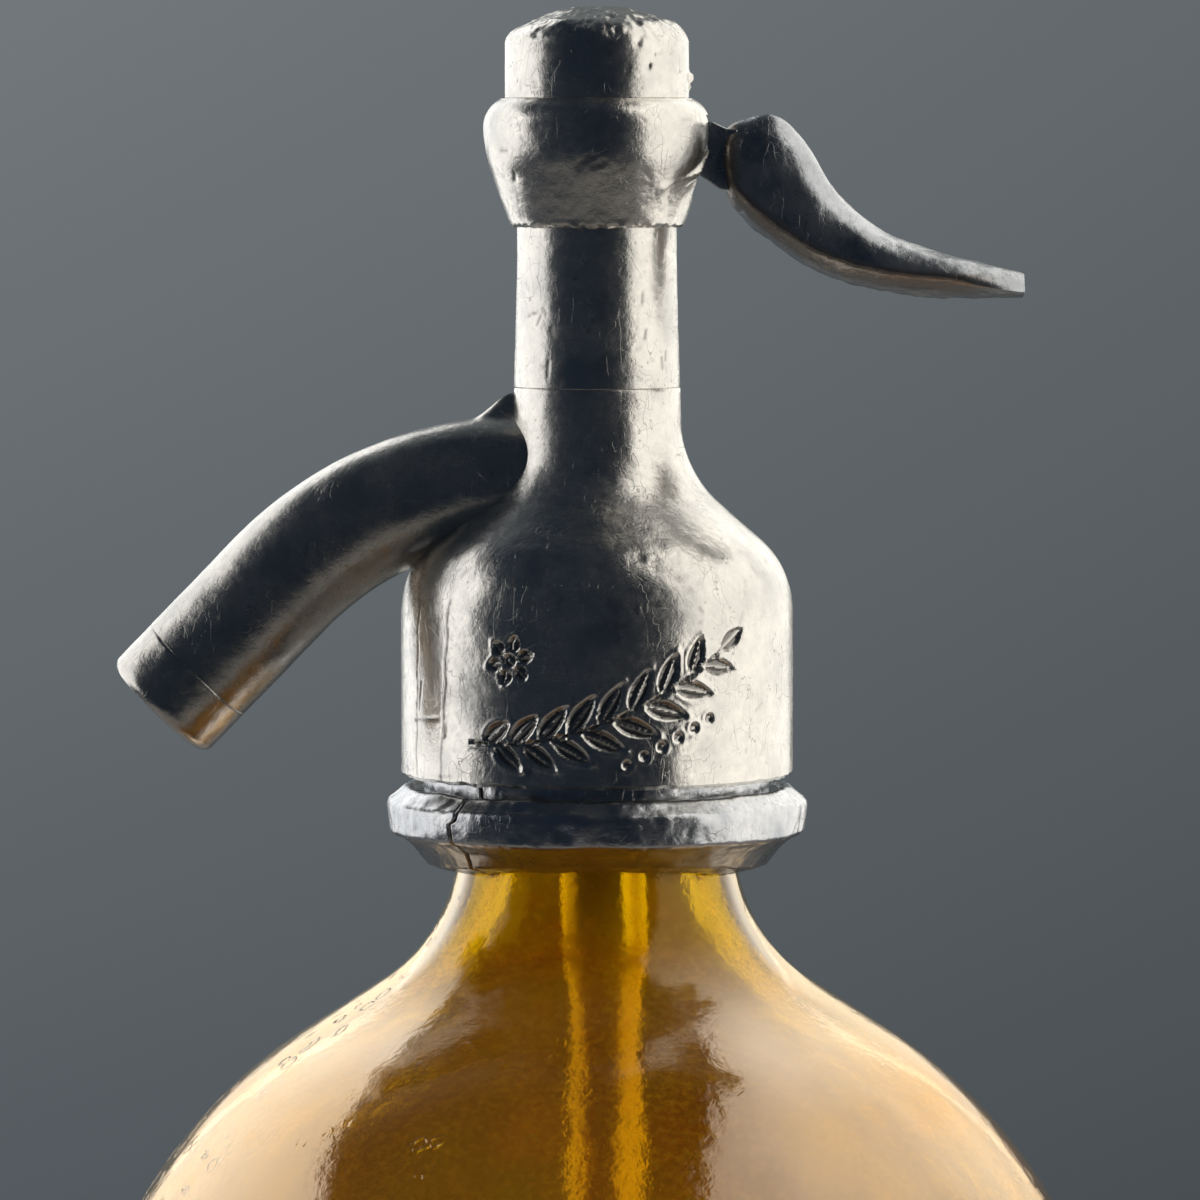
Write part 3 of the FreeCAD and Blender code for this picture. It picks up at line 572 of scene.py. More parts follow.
def glass_bottle():
    """The wall is one closed skin: up the outside, over the lip and down the inside."""
    lean_way, turn_way = heading(SHOULDER_LEAN), heading(SHOULDER_TURN)
    sweep = Vector((NECK_R + NECK_BEND * (1 - lean_way.x), NECK_Z - NECK_BEND * lean_way.y))
    slope = sweep + Vector((lean_way.y, -lean_way.x)) * SHOULDER_RUN
    turn = slope + SHOULDER_BEND * (turn_way - lean_way)
    side_bend = (BODY_R - turn.x) / (1 - turn_way.x)
    side_z = turn.y - side_bend * turn_way.y
    lean_in = lean_way * GLASS_WALL
    turn_in = turn_way * GLASS_WALL
    punt_bend = (FOOT_INNER_R ** 2 + PUNT_RISE ** 2) / (2 * PUNT_RISE)
    bore, inside = NECK_R - GLASS_WALL, BODY_R - GLASS_WALL

    bm = turned(200, ([
        (0, PUNT_RISE, -punt_bend), (FOOT_INNER_R, 0), (BODY_R - HEEL_BEND, 0, HEEL_BEND),
        (BODY_R, HEEL_BEND), (BODY_R, side_z),
    ], 3.0), ([
        (BODY_R, side_z, side_bend), (*turn, SHOULDER_BEND), (*slope,), (*sweep, -NECK_BEND),
        (NECK_R, NECK_Z), (NECK_R, BEAD_Z), (BEAD_R, BEAD_EDGE_Z), (BEAD_R, LIP_Z - LIP_ROUND, LIP_ROUND),
        (BEAD_R - LIP_ROUND, LIP_Z), (bore + LIP_ROUND, LIP_Z, LIP_ROUND), (bore, LIP_Z - LIP_ROUND),
        (bore, NECK_Z, NECK_BEND + GLASS_WALL), (*(sweep - lean_in),),
        (*(slope - lean_in), GLASS_WALL - SHOULDER_BEND), (*(turn - turn_in), GLASS_WALL - side_bend),
        (inside, side_z),
    ], 1.1), ([
        (inside, side_z), (inside, FLOOR + HEEL_BEND, -HEEL_BEND), (inside - HEEL_BEND, FLOOR),
        (FOOT_INNER_R, FLOOR, punt_bend), (0, PUNT_RISE + FLOOR),
    ], 3.0))
    outer = [vert.normal.dot(outward(vert.co)) > 0 or vert.normal.z < -0.9 for vert in bm.verts]
    lustre = bm.verts.layers.float.new("lustre")
    limescale = bm.verts.layers.float.new("limescale")
    for vert, outside in zip(bm.verts, outer):
        depth = 0.03 if outside else 0.10
        depth *= smooth_step(HEEL_BEND, 4 * HEEL_BEND, vert.co.z)
        vert.co += vert.normal * depth * lumps(vert.co, 12.0, 3)
        aside = abs(azimuth(vert.co))
        share = 0.3 + 0.5 * smooth_step(12, 40, aside) + 0.2 * smooth_step(40, 78, aside)
        share *= 1 - smooth_step(*FILM_FADE_Z, vert.co.z)
        vert[lustre] = outside * max(share, smooth_step(56, 74, aside))
        vert[limescale] = (not outside) * (1 - smooth_step(216, 226, vert.co.z))
    piece(bm, "glass_bottle", "siphon", "amber_glass")


def dip_tube():
    low, high = edge_of("dip_tube", 0).z, edge_of("dip_tube", 1).z
    bm = turned(64, ([
        (TUBE_BORE_R, low), (TUBE_R, low), (TUBE_R, high), (TUBE_BORE_R, high), (TUBE_BORE_R, low),
    ], 2.0))
    for vert in bm.verts:
        share = (vert.co.z - low) / (high - low)
        slim = 1 - TUBE_SLIM * (1 - smooth_step(*TUBE_TAPER_Z, vert.co.z))
        bow = TUBE_BOW * sin(pi * share ** 3)
        vert.co = Vector((vert.co.x * slim + bow, vert.co.y * slim, vert.co.z))
    piece(bm, "dip_tube", "siphon", "tube_glass")


# ---- split ring

RING_WEAR = 1.2
SPLIT_GAP = 0.5
# Heights, with the angles by which the split wanders off its azimuth there.
RING_END_TURNS = [(233.2, 2.6), (232.7, 0.0), (229.3, 0.0), (226.3, -3.5)]


def end_turn(height):
    if height > RING_END_TURNS[0][0]:
        return RING_END_TURNS[0][1]
    for (high, turn_high), (low, turn_low) in pairwise(RING_END_TURNS):
        if height > low:
            return turn_low + (turn_high - turn_low) * (height - low) / (high - low)
    return RING_END_TURNS[-1][1]


def split_ring(name, start):
    """One half of the ring, whose ends have worn edges."""
    bm = bmesh.new()
    draw(bm, [
        (15.9, RING_Z), (18.5, RING_Z + 0.8), (20.1, RING_Z + 2.8), (21.2, RING_Z + 3.7),
        (21.9, RING_Z + 4.0, 0.8), (22.5, RING_Z + 4.7), (22.8, RING_Z + 7.2, 0.9), (22.3, RING_Z + 8.0),
        (21.2, RING_Z + 9.0, 0.9), (20.3, RING_Z + 9.2), (19.9, RING_Z + 8.8), (18.75, RING_Z + 8.8),
        (18.75, RING_TOP_Z), (17.7, RING_TOP_Z), (17.7, BEAD_EDGE_Z - 0.2), (15.2, BEAD_Z - 0.2),
        (15.2, NECK_Z), (15.9, RING_Z),
    ], 0.42)
    revolve(bm, 240, start + SPLIT_GAP, 180 - 2 * SPLIT_GAP)
    ends = [edge for edge in bm.edges if edge.is_boundary]
    bmesh.ops.holes_fill(bm, edges=ends)
    solid(bm)
    rims = [edge for edge in bm.edges if any(len(face.verts) > 8 for face in edge.link_faces)]
    soften(bm, rims, 0.28, 3)
    for vert in bm.verts:
        off = around(SPLIT_AZIMUTH, azimuth(vert.co))
        turn = radians(end_turn(vert.co.z) * (1 - smooth_step(3, 14, abs(off))))
        vert.co.rotate(Matrix.Rotation(turn, 3, "Z"))
        front = max(0.0, -vert.co.y / hypot(vert.co.x, vert.co.y))
        vert.co.z += RING_WEAR * front ** 2 * (1 - smooth_step(RING_Z + 0.6, RING_Z + 3.8, vert.co.z))
    solid(bm)
    # Painted shade: the downward faces get up to half a share of grime colour, more the more they face
    # down.
    paint_grime_and_shade(bm, lambda vert: 0.5 * smooth_step(0.45, 0.7, -vert.normal.z))
    roughen(bm, 0.16, 3.2, 1, 0.5)
    piece(bm, name, "siphon", "ring_pewter")


# ---- cast head

BELL_SLOPE = radians(49)
BELL_BEND = 11.0
BELL_SWEEP = 12.0
BELL_NECK_R = 9.15
BELL_NECK_Z = 275.3
SKIRT_BORE_R = 18.9
CEILING_Z = 251.0


def bell_side():
    """The bell's outer side, from the skirt's top up to the neck."""
    lean, rise = 1 - cos(BELL_SLOPE), sin(BELL_SLOPE)
    bends = BELL_BEND + BELL_SWEEP
    run = (SKIRT_R - BELL_NECK_R - bends * lean) / tan(BELL_SLOPE)
    low = BELL_NECK_Z - bends * rise - run
    return [
        (SKIRT_R, low, BELL_BEND), (SKIRT_R - BELL_BEND * lean, low + BELL_BEND * rise),
        (BELL_NECK_R + BELL_SWEEP * lean, BELL_NECK_Z - BELL_SWEEP * rise, -BELL_SWEEP),
        (BELL_NECK_R, BELL_NECK_Z),
    ]


# The spray stamped on the skirt, laid out flat: millimetres to the right of the front, and heights.
STEM = [Vector((-14.5, 241.6)), Vector((-1.0, 240.2)), Vector((14.6, 251.6))]
LEAF_LENGTH = 5.0
LEAF_WIDTH = 2.0
LEAF_LEAN = 40.0
LEAF_PAIRS = 8
ROSETTE = Vector((-9.6, 250.4))
ROSETTE_PETALS = 6
ROSETTE_EYE_R = 0.75
BEADS = 6
FIRST_BEAD = Vector((3.2, 239.4))
BEAD_STEP = Vector((1.9, 0.95))
STAMPED_BEAD_R = 0.55
STEM_STROKES = 120
STAMP_DEPTH = 0.40
STAMP_EDGE = 0.32
STAMP_LIP = 0.07


def stem_at(share):
    first, middle, last = STEM
    return first * (1 - share) ** 2 + middle * 2 * share * (1 - share) + last * share ** 2


def stem_angle(share):
    way = stem_at(min(1.0, share + 0.01)) - stem_at(share - 0.01)
    return atan2(way.y, way.x)


def pressed(inside):
    """The depth of the stamp at a distance inside its edge: a wall, with a low lip thrown up round it."""
    wall = STAMP_DEPTH * smooth_step(-0.04, STAMP_EDGE, inside)
    return wall - STAMP_LIP * exp(-((inside + 0.25) / 0.18) ** 2)


def leaf(foot, angle, length, width):
    """A leaf with a raised midrib: its middle, its reach, and its depth at a place."""
    way = heading(angle)

    def depth(place):
        along = (place - foot).dot(way) / length
        across = abs((place - foot).cross(way))
        half = width / 2 * sin(pi * min(1.0, max(0.0, along)) ** 0.8)
        past = max(0.0, -along, along - 1) * length
        midrib = 0.5 * STAMP_DEPTH * exp(-(across / 0.2) ** 2) * (past == 0)
        return pressed(half - across - past) - midrib

    return foot + way * length / 2, length / 2 + 0.8, depth


def bead(centre, radius):
    """A round dimple with a domed middle."""
    def depth(place):
        off = (place - centre).length
        return pressed(radius - off) - 0.6 * STAMP_DEPTH * exp(-(off / (0.4 * radius)) ** 2)

    return centre, radius + 0.8, depth


def stem_stroke(share):
    """One short length of the stem, as a groove."""
    centre = stem_at(share)

    def depth(place):
        return pressed(0.28 - (place - centre).length)

    return centre, 1.1, depth


def spray():
    """Everything that is stamped on the skirt."""
    shapes = [stem_stroke(step / STEM_STROKES) for step in range(STEM_STROKES + 1)]
    for pair in range(LEAF_PAIRS):
        share = 0.06 + 0.92 * pair / LEAF_PAIRS
        for side in (1, -1):
            at = share + (0.05 if side < 0 else 0)
            length = LEAF_LENGTH * (0.8 + 0.35 * sin(pi * at))
            angle = stem_angle(at) + side * radians(LEAF_LEAN)
            shapes.append(leaf(stem_at(at), angle, length, LEAF_WIDTH))
    shapes.append(leaf(stem_at(0.99), stem_angle(1.0), 0.8 * LEAF_LENGTH, LEAF_WIDTH))
    for petal in range(ROSETTE_PETALS):
        angle = 2 * pi * (petal + 0.25) / ROSETTE_PETALS
        shapes.append(leaf(ROSETTE + heading(angle) * 0.9, angle, 2.1, 1.5))
    shapes.append(bead(ROSETTE, ROSETTE_EYE_R))
    shapes += [bead(FIRST_BEAD + BEAD_STEP * step, STAMPED_BEAD_R) for step in range(BEADS)]
    return shapes


def stamp(bm, shapes):
    """Press flat shapes into the front of the skirt, and pack grime into their depths."""
    grime_and_painted_shade = bm.verts.layers.float.get("grime_and_painted_shade")
    front = [
        vert for vert in bm.verts if vert.normal.dot(outward(vert.co)) > 0.6
        and abs(azimuth(vert.co)) < 70 and vert.co.z < JOINT_Z - 20
    ]
    flat = [Vector(unrolled(vert.co, SKIRT_R)) for vert in front]
    tree = search_tree(flat)
    depths = {}
    for centre, reach, depth in shapes:
        for _, index, _ in tree.find_range((centre.x, centre.y, 0), reach):
            here = depth(flat[index])
            if abs(here) > abs(depths.get(index, 0.0)):
                depths[index] = here
    for index, depth in depths.items():
        front[index].co -= outward(front[index].co) * depth
        front[index][grime_and_painted_shade] = 0.85 * smooth_step(0.3, 1.0, depth / STAMP_DEPTH)


def mould_line(first, last, low, high, depth):
    """Marks for a thin wandering seam up the skirt, from its first azimuth to its last."""
    steps, width = 40, 0.16
    return [
        (first + (last - first) * step / steps + 0.3 * sin(step * 0.7),
         low + (high - low) * step / steps, (high - low) / steps, 0,
         width, depth * (0.6 + 0.4 * sin(step * 1.9)))
        for step in range(steps + 1)
    ]


def head_body():
    bm = turned(320, ([
        (SKIRT_BORE_R, SKIRT_Z), (SKIRT_R - 0.4, SKIRT_Z), (SKIRT_R, SKIRT_Z + 0.4), *bell_side(),
        (COLUMN_FOOT_R, JOINT_Z - 0.15), (COLUMN_FOOT_R - 0.12, JOINT_Z),
    ], 0.42), ([
        (COLUMN_FOOT_R - 0.12, JOINT_Z), (6.6, JOINT_Z), (6.6, 274.0), (2.15, 274.0), (2.15, 272.0),
        (6.0, 272.0), (6.0, 256.4), (6.55, 256.4), (6.55, CEILING_Z), (SKIRT_BORE_R, CEILING_Z),
        (SKIRT_BORE_R, SKIRT_Z),
    ], 3.0))

    def in_panel(vert):
        return (vert.normal.dot(outward(vert.co)) > 0.6 and -74 < azimuth(vert.co) < 58
                and SKIRT_Z + 0.6 < vert.co.z < 256.5)

    bm.verts.layers.float.new("grime_and_painted_shade")
    panel = [edge for edge in bm.edges if all(in_panel(vert) for vert in edge.verts)]
    bmesh.ops.subdivide_edges(bm, edges=panel, cuts=1, use_grid_fill=True)
    bm.normal_update()
    stamp(bm, spray())
    gouge(bm, [
        *mould_line(-52, -48, SKIRT_Z, 258, 0.06),
        *mould_line(-66, -64, SKIRT_Z, 256, 0.06),
        (-60, 243.5, 5.0, 85, 0.18, 0.08), (-50, 242.6, 1.2, 0, 0.25, 0.08), (-63, 246, 3.0, 12, 0.2, 0.07),
    ], 0.75)
    gouge(bm, [
        *scattered(11, 90, (-180, 180), (SKIRT_Z, 277), 1.8, 0.24, 0.045),
        *scattered(12, 26, (10, 40), (254, 262), 1.4, 0.26, 0.08),
    ], 0.25)
    roughen(bm, 0.07, 6.0, 4, where=lambda place: place.z > SKIRT_Z + 1)
    for vert in bm.verts:
        if vert.co.z < SKIRT_Z + 0.5:
            vert.co.z += 0.28 * max(0.0, lumps(vert.co, 1.7, 6) + 0.1)
    piece(bm, "head_body", "siphon", "head_pewter")


# ---- spout

SPOUT_START_X = -6.0
WEB_OUT_X = -13.8
WEB_RISE = 2.6
WEB_HALF_WIDTH = 1.2


def drawn_on(bm, loop, move):
    """Extrude a loop by a move, and give the new loop."""
    grown = bmesh.ops.extrude_edge_only(bm, edges=loop)["geom"]
    bmesh.ops.translate(bm, verts=verts_of(grown), vec=move)
    return edges_of(grown)


def run_pipe(bm, radius, steps):
    """Run a round skin along the spout's centre line, and give its two end loops."""
    start = Matrix.Translation((SPOUT_START_X, 0, SPOUT_ROOT.z)) @ Z_TO_X
    made = bmesh.ops.create_circle(bm, segments=96, radius=radius, matrix=start)
    first = list({edge for vert in made["verts"] for edge in vert.link_edges})
    loop = drawn_on(bm, first, (SPOUT_ROOT.x - SPOUT_START_X, 0, 0))
    spun = bmesh.ops.spin(
        bm, geom=loop, cent=SPOUT_ROOT - AXIS * SPOUT_BEND, axis=(0, 1, 0),
        angle=-radians(SPOUT_TURN), steps=steps,
    )
    loop = edges_of(spun["geom_last"])
    runs = round(steps / 2)
    for _ in range(runs):
        loop = drawn_on(bm, loop, SPOUT_WAY * SPOUT_RUN / runs)
    return first, loop


def spout_tube():
    bm = bmesh.new()
    outer_first, outer_last = run_pipe(bm, SPOUT_R, 60)
    outer = set(bm.verts)
    inner_first, inner_last = run_pipe(bm, SPOUT_BORE_R, 24)
    bmesh.ops.bridge_loops(bm, edges=outer_first + inner_first)
    bmesh.ops.bridge_loops(bm, edges=outer_last + inner_last)
    for vert in outer:
        if vert.co.z > SPOUT_ROOT.z:
            share = smooth_step(0, 1, (vert.co.x - WEB_OUT_X) / (-9.0 - WEB_OUT_X))
            vert.co.z += WEB_RISE * share * exp(-(vert.co.y / WEB_HALF_WIDTH) ** 2)
    solid(bm)
    # Even grime all over, and painted shade on the downward faces, more the more they face down.
    paint_grime_and_shade(bm, lambda vert: 0.16 + 0.3 * smooth_step(0.1, 0.8, -vert.normal.z))
    roughen(bm, 0.07, 5.0, 7)
    piece(bm, "spout_tube", "siphon", "head_pewter")


def spout_nozzle():
    """The nozzle is turned about the Z axis and then leant into line with the spout's end."""
    length, round_off, bore = 6.2, 1.2, 4.0
    end = SPOUT_ROOT - AXIS * SPOUT_BEND
    end += SPOUT_BEND * Vector((-sin(radians(SPOUT_TURN)), 0, cos(radians(SPOUT_TURN))))
    end += SPOUT_WAY * SPOUT_RUN
    lean = Matrix.Rotation(radians(270 - SPOUT_TURN), 4, "Y")
    bm = turned(128, ([
        (bore, 0), (SPOUT_R - 0.1, 0), (SPOUT_R, 0.14), (SPOUT_R, length - round_off, round_off),
        (SPOUT_R - round_off, length), (bore + 0.3, length), (bore, length - 0.3), (bore, 0),
    ], 0.3), lie=Matrix.Translation(end) @ lean)
    paint_grime_and_shade(bm, lambda vert: 0.2)
    roughen(bm, 0.05, 2.5, 9)
    piece(bm, "spout_nozzle", "siphon", "head_pewter")


# ---- column, housing and cap

COLUMN_R = 8.64
COLUMN_TOP_Z = 299.4


def valve_column():
    bm = turned(280, ([
        (COLUMN_FOOT_R - 0.1, JOINT_Z), (COLUMN_FOOT_R, JOINT_Z + 0.12), (COLUMN_R, 292.6),
        (COLUMN_R, HOUSING_Z),
    ], 0.3), ([
        (COLUMN_R, HOUSING_Z), (7.4, HOUSING_Z), (7.4, COLUMN_TOP_Z), (6.0, COLUMN_TOP_Z), (6.0, 281.0),
        (2.15, 281.0), (2.15, 277.2), (6.55, 277.2), (6.55, JOINT_Z), (COLUMN_FOOT_R - 0.1, JOINT_Z),
    ], 2.0))
    gouge(bm, [
        (-52, 286.9, 1.6, 75, 0.15, 0.08), (-45, 286.3, 1.2, 30, 0.15, 0.08),
        (-40, 287.2, 0.8, -40, 0.16, 0.06), (34, 288.6, 1.2, 5, 0.15, 0.05),
        (36, 284.7, 1.0, 12, 0.16, 0.05), (52, 281.6, 1.2, -4, 0.15, 0.06),
        (56, 282.4, 1.0, 3, 0.14, 0.06), (-36, 281.0, 1.6, 4, 0.18, 0.05),
    ], 0.7)
    gouge(bm, scattered(21, 50, (-180, 180), (JOINT_Z, 296), 1.4, 0.22, 0.04), 0.25)
    roughen(bm, 0.045, 4.5, 10)
    piece(bm, "valve_column", "siphon", "head_pewter")


SLOT_HALF_WIDTH = 2.6
SLOT_LOW_Z = 299.55
SLOT_TOP_Z = 308.3
LUG_BLEND = 0.05
# The lug's planes, each as a point on it and its outward direction. The last four are two mirrored pairs.
LUG_PLANES = [(Vector(point), Vector(normal)) for point, normal in (
    ((12.6, 0, 306.0), (1, 0, 0)),
    ((12.6, 0, 305.4), (3.5, 0, -1.4)),
    ((11.2, 0, 301.9), (0.737, 0, -1)),
    ((12.45, 0, 307.0), (0.55, 0, 1)),
    ((12.2, -1.9, 305.7), (0.58, -0.73, 0.362)),
    ((12.2, 1.9, 305.7), (0.58, 0.73, 0.362)),
    ((11.2, -4.2, 301.9), (1.395, -1, -1)),
    ((11.2, 4.2, 301.9), (1.395, 1, -1)),
)]


def lug_reach(way, height):
    """How far from the axis the lug's planes lie, in a direction and at a height."""
    reach = 99.0
    for point, normal in LUG_PLANES:
        facing = normal.dot(way)
        if facing > 0.05:
            reach = min(reach, (normal.dot(point) - normal.z * height) / facing)
    return reach


def lever_housing():
    bore = 8.4
    bm = turned(320, ([
        (9.15, HOUSING_Z), (9.45, HOUSING_Z + 0.3), (11.61, 302.67, 14.0), (12.3, 307.0, 3.2),
        (10.5, CAP_JOINT_Z - 0.1), (10.4, CAP_JOINT_Z),
    ], 0.26), ([
        (10.4, CAP_JOINT_Z), (bore, CAP_JOINT_Z), (bore, COLUMN_TOP_Z), (7.45, COLUMN_TOP_Z),
        (7.45, HOUSING_Z), (9.15, HOUSING_Z),
    ], 1.0))
    for vert in bm.verts:
        way = outward(vert.co)
        if way.x > 0.5 and vert.normal.dot(way) > 0.2:
            radius = vert.co.dot(way)
            reach = lug_reach(way, vert.co.z)
            rise = reach - radius
            rise = (rise + sqrt(rise * rise + LUG_BLEND * LUG_BLEND)) / 2
            vert.co += way * rise * smooth_step(0.58, 0.72, way.x)
    solid(bm)
    gouge(bm, scattered(31, 50, (-180, 180), (HOUSING_Z, CAP_JOINT_Z), 1.4, 0.22, 0.04), 0.25)
    gouge(bm, [
        (-6, 303.4, 1.8, 60, 0.5, 0.07), (1, 303.0, 1.4, 75, 0.4, 0.06), (-56, 304.4, 1.2, 88, 0.2, 0.05),
        (-52, 301.6, 0.8, 20, 0.25, 0.06),
    ], 0.5)
    roughen(bm, 0.06, 3.5, 12, where=lambda place: place.z > HOUSING_Z + 0.6)
    for vert in bm.verts:
        if vert.co.z < HOUSING_Z + 0.4 and vert.normal.dot(outward(vert.co)) > -0.5:
            vert.co.z += 0.2 * lumps(vert.co, 0.9, 14)

    # The slot is cut out of the walls, and its cheeks are closed.
    for point, normal in (((0, SLOT_HALF_WIDTH, 0), (0, 1, 0)), ((0, -SLOT_HALF_WIDTH, 0), (0, 1, 0)),
                          ((0, 0, SLOT_LOW_Z), AXIS), ((0, 0, SLOT_TOP_Z), AXIS)):
        right = [item for item in bm.verts[:] + bm.edges[:] + bm.faces[:] if lies_right(item)]
        bmesh.ops.bisect_plane(bm, geom=right, plane_co=point, plane_no=normal, dist=0.0005)
    within = [face for face in bm.faces if in_slot(face.calc_center_median())]
    bmesh.ops.delete(bm, geom=within, context="FACES")
    rim = [edge for edge in bm.edges if edge.is_boundary]
    bmesh.ops.bridge_loops(bm, edges=rim)
    solid(bm)
    piece(bm, "lever_housing", "siphon", "head_pewter", crease=30.0)


def lies_right(item):
    verts = [item] if isinstance(item, bmesh.types.BMVert) else item.verts
    return all(vert.co.x > 4 for vert in verts)


def in_slot(place):
    return place.x > 4 and abs(place.y) < SLOT_HALF_WIDTH and SLOT_LOW_Z < place.z < SLOT_TOP_Z


def top_cap():
    crown_r, crown_z = 7.2, 318.65
    crown_bend = (crown_r ** 2 + (TOP_Z - crown_z) ** 2) / (2 * (TOP_Z - crown_z))
    bm = turned(264, ([
        (CAP_R - 0.1, CAP_JOINT_Z), (CAP_R, CAP_JOINT_Z + 0.1), (CAP_R, 316.2, 3.4),
        (crown_r, crown_z, crown_bend), (0, TOP_Z),
    ], 0.28), ([
        (0, 316.5), (6.6, 316.5), (6.6, 308.4), (8.35, 308.4), (8.35, CAP_JOINT_Z),
        (CAP_R - 0.1, CAP_JOINT_Z),
    ], 1.5))
    gouge(bm, scattered(41, 40, (-180, 180), (CAP_JOINT_Z, 318), 1.2, 0.22, 0.04), 0.25)
    gouge(bm, [
        (38, 314.7, 0.3, 25, 0.26, 0.2), (34, 313.5, 0.5, 25, 0.28, 0.22), (27, 316.2, 0.6, 30, 0.4, 0.12),
        (86, 312.3, 0.5, 0, 0.3, -0.5), (88, 311.3, 0.2, 0, 0.2, -0.35),
    ])
    roughen(bm, 0.04, 4.0, 15)
    roughen(bm, 0.15, 1.8, 16, 0.6, lambda place: place.z > 316.7)
    for vert in bm.verts:
        vert.co.z -= 0.5 * smooth_step(316.0, 318.6, vert.co.z) * smooth_step(3.0, 9.0, -vert.co.x)
        vert.co.z = min(vert.co.z, TOP_Z)
    piece(bm, "top_cap", "siphon", "head_pewter")


# ---- lever and its pin

# The blade from its root to its tip: distance from the axis, height of the crest, height of the lower
# edge, and width.
BLADE = [
    (13.5, 305.6, 301.4, 3.6),
    (13.9, 306.6, 300.0, 6.0),
    (16.0, 307.9, 297.0, 8.4),
    (18.8, 308.4, 294.6, 9.6),
    (22.0, 306.1, 292.3, 10.2),
    (25.3, 300.9, 290.7, 10.8),
    (29.1, 297.0, 289.6, 12.0),
    (34.7, 294.2, 288.7, 13.2),
    (40.2, 292.6, 288.4, 13.2),
    (44.4, 291.6, 288.5, 11.4),
    (46.1, 291.2, 288.5, 8.6),
]
KEEL = 2.5


def blade_at(across):
    """The blade's crest, lower edge and width at a distance from the axis, on a smooth curve."""
    index = min(len(BLADE) - 2, max(0, bisect.bisect_right([row[0] for row in BLADE], across) - 1))
    before, start, end, after = (BLADE[min(len(BLADE) - 1, max(0, index + step))] for step in (-1, 0, 1, 2))
    span = end[0] - start[0]
    share = (across - start[0]) / span
    square, cube = share ** 2, share ** 3
    values = []
    for column in (1, 2, 3):
        rise = (end[column] - start[column]) / span
        before_rise = (start[column] - before[column]) / (start[0] - before[0]) if before != start else rise
        after_rise = (after[column] - end[column]) / (after[0] - end[0]) if after != end else rise
        out, into = (before_rise + rise) / 2 * span, (rise + after_rise) / 2 * span
        values.append(
            (2 * cube - 3 * square + 1) * start[column] + (cube - 2 * square + share) * out
            + (3 * square - 2 * cube) * end[column] + (cube - square) * into
        )
    return values


def blade_skin(across, angle):
    """The place on the blade's skin at an angle from its crest. The crease is at a right angle."""
    crest, low, width = blade_at(across)
    crease = low + min(KEEL, 0.56 * (crest - low)) * (1 - 0.5 * smooth_step(36.0, 46.0, across))
    side = sin(angle)
    up = cos(angle)
    if up >= 0:
        flare, height = abs(side) ** 0.9, crease + (crest - crease) * up ** 0.92
    else:
        flare, height = abs(side) ** 1.5, crease - (crease - low) * abs(up) ** 1.15
    return Vector((across, width / 2 * copysign(flare, side), height))


def blade(bm):
    """A long skin, drawn out along the blade, closed and rounded at both ends."""
    first, last = BLADE[0][0], BLADE[-1][0]
    bmesh.ops.create_cone(bm, cap_ends=True, segments=96, radius1=1, radius2=1, depth=1, matrix=Z_TO_X)
    lengthwise = [edge for edge in bm.edges if abs(edge.verts[0].co.x - edge.verts[1].co.x) > 0.5]
    bmesh.ops.subdivide_edges(bm, edges=lengthwise, cuts=110, use_grid_fill=True)
    for vert in bm.verts:
        share = vert.co.x + 0.5
        angle = atan2(vert.co.y, vert.co.z)
        vert.co = blade_skin(first + (last - first) * share, angle)
    caps = [face for face in bm.faces if len(face.verts) > 8]
    root, tip = sorted(caps, key=lambda cap: cap.verts[0].co.x)
    for cap, offset in ((tip, 0.35), (root, 0.9)):
        soften(bm, list(cap.edges), offset, 4)


def slab(bm, corners, half_width, rounding):
    """Add a flat piece, drawn in the XZ plane, with softened edges."""
    made = bmesh.new()
    draw(made, corners + [corners[0][:2]], 0.4)
    weld(made)
    bmesh.ops.translate(made, verts=made.verts, vec=(0, -half_width, 0))
    face = bmesh.ops.contextual_create(made, geom=made.edges)["faces"]
    grown = bmesh.ops.extrude_face_region(made, geom=face)["geom"]
    bmesh.ops.translate(made, verts=verts_of(grown), vec=(0, 2 * half_width, 0))
    solid(made)
    rims = [
        edge for edge in made.edges
        if edge.calc_face_angle(0) > 1.2 and abs(edge.verts[0].co.y - edge.verts[1].co.y) < 0.01
    ]
    soften(made, rims, rounding, 3)
    mesh = meshed(made, "slab")
    bm.from_mesh(mesh)
    bpy.data.meshes.remove(mesh)


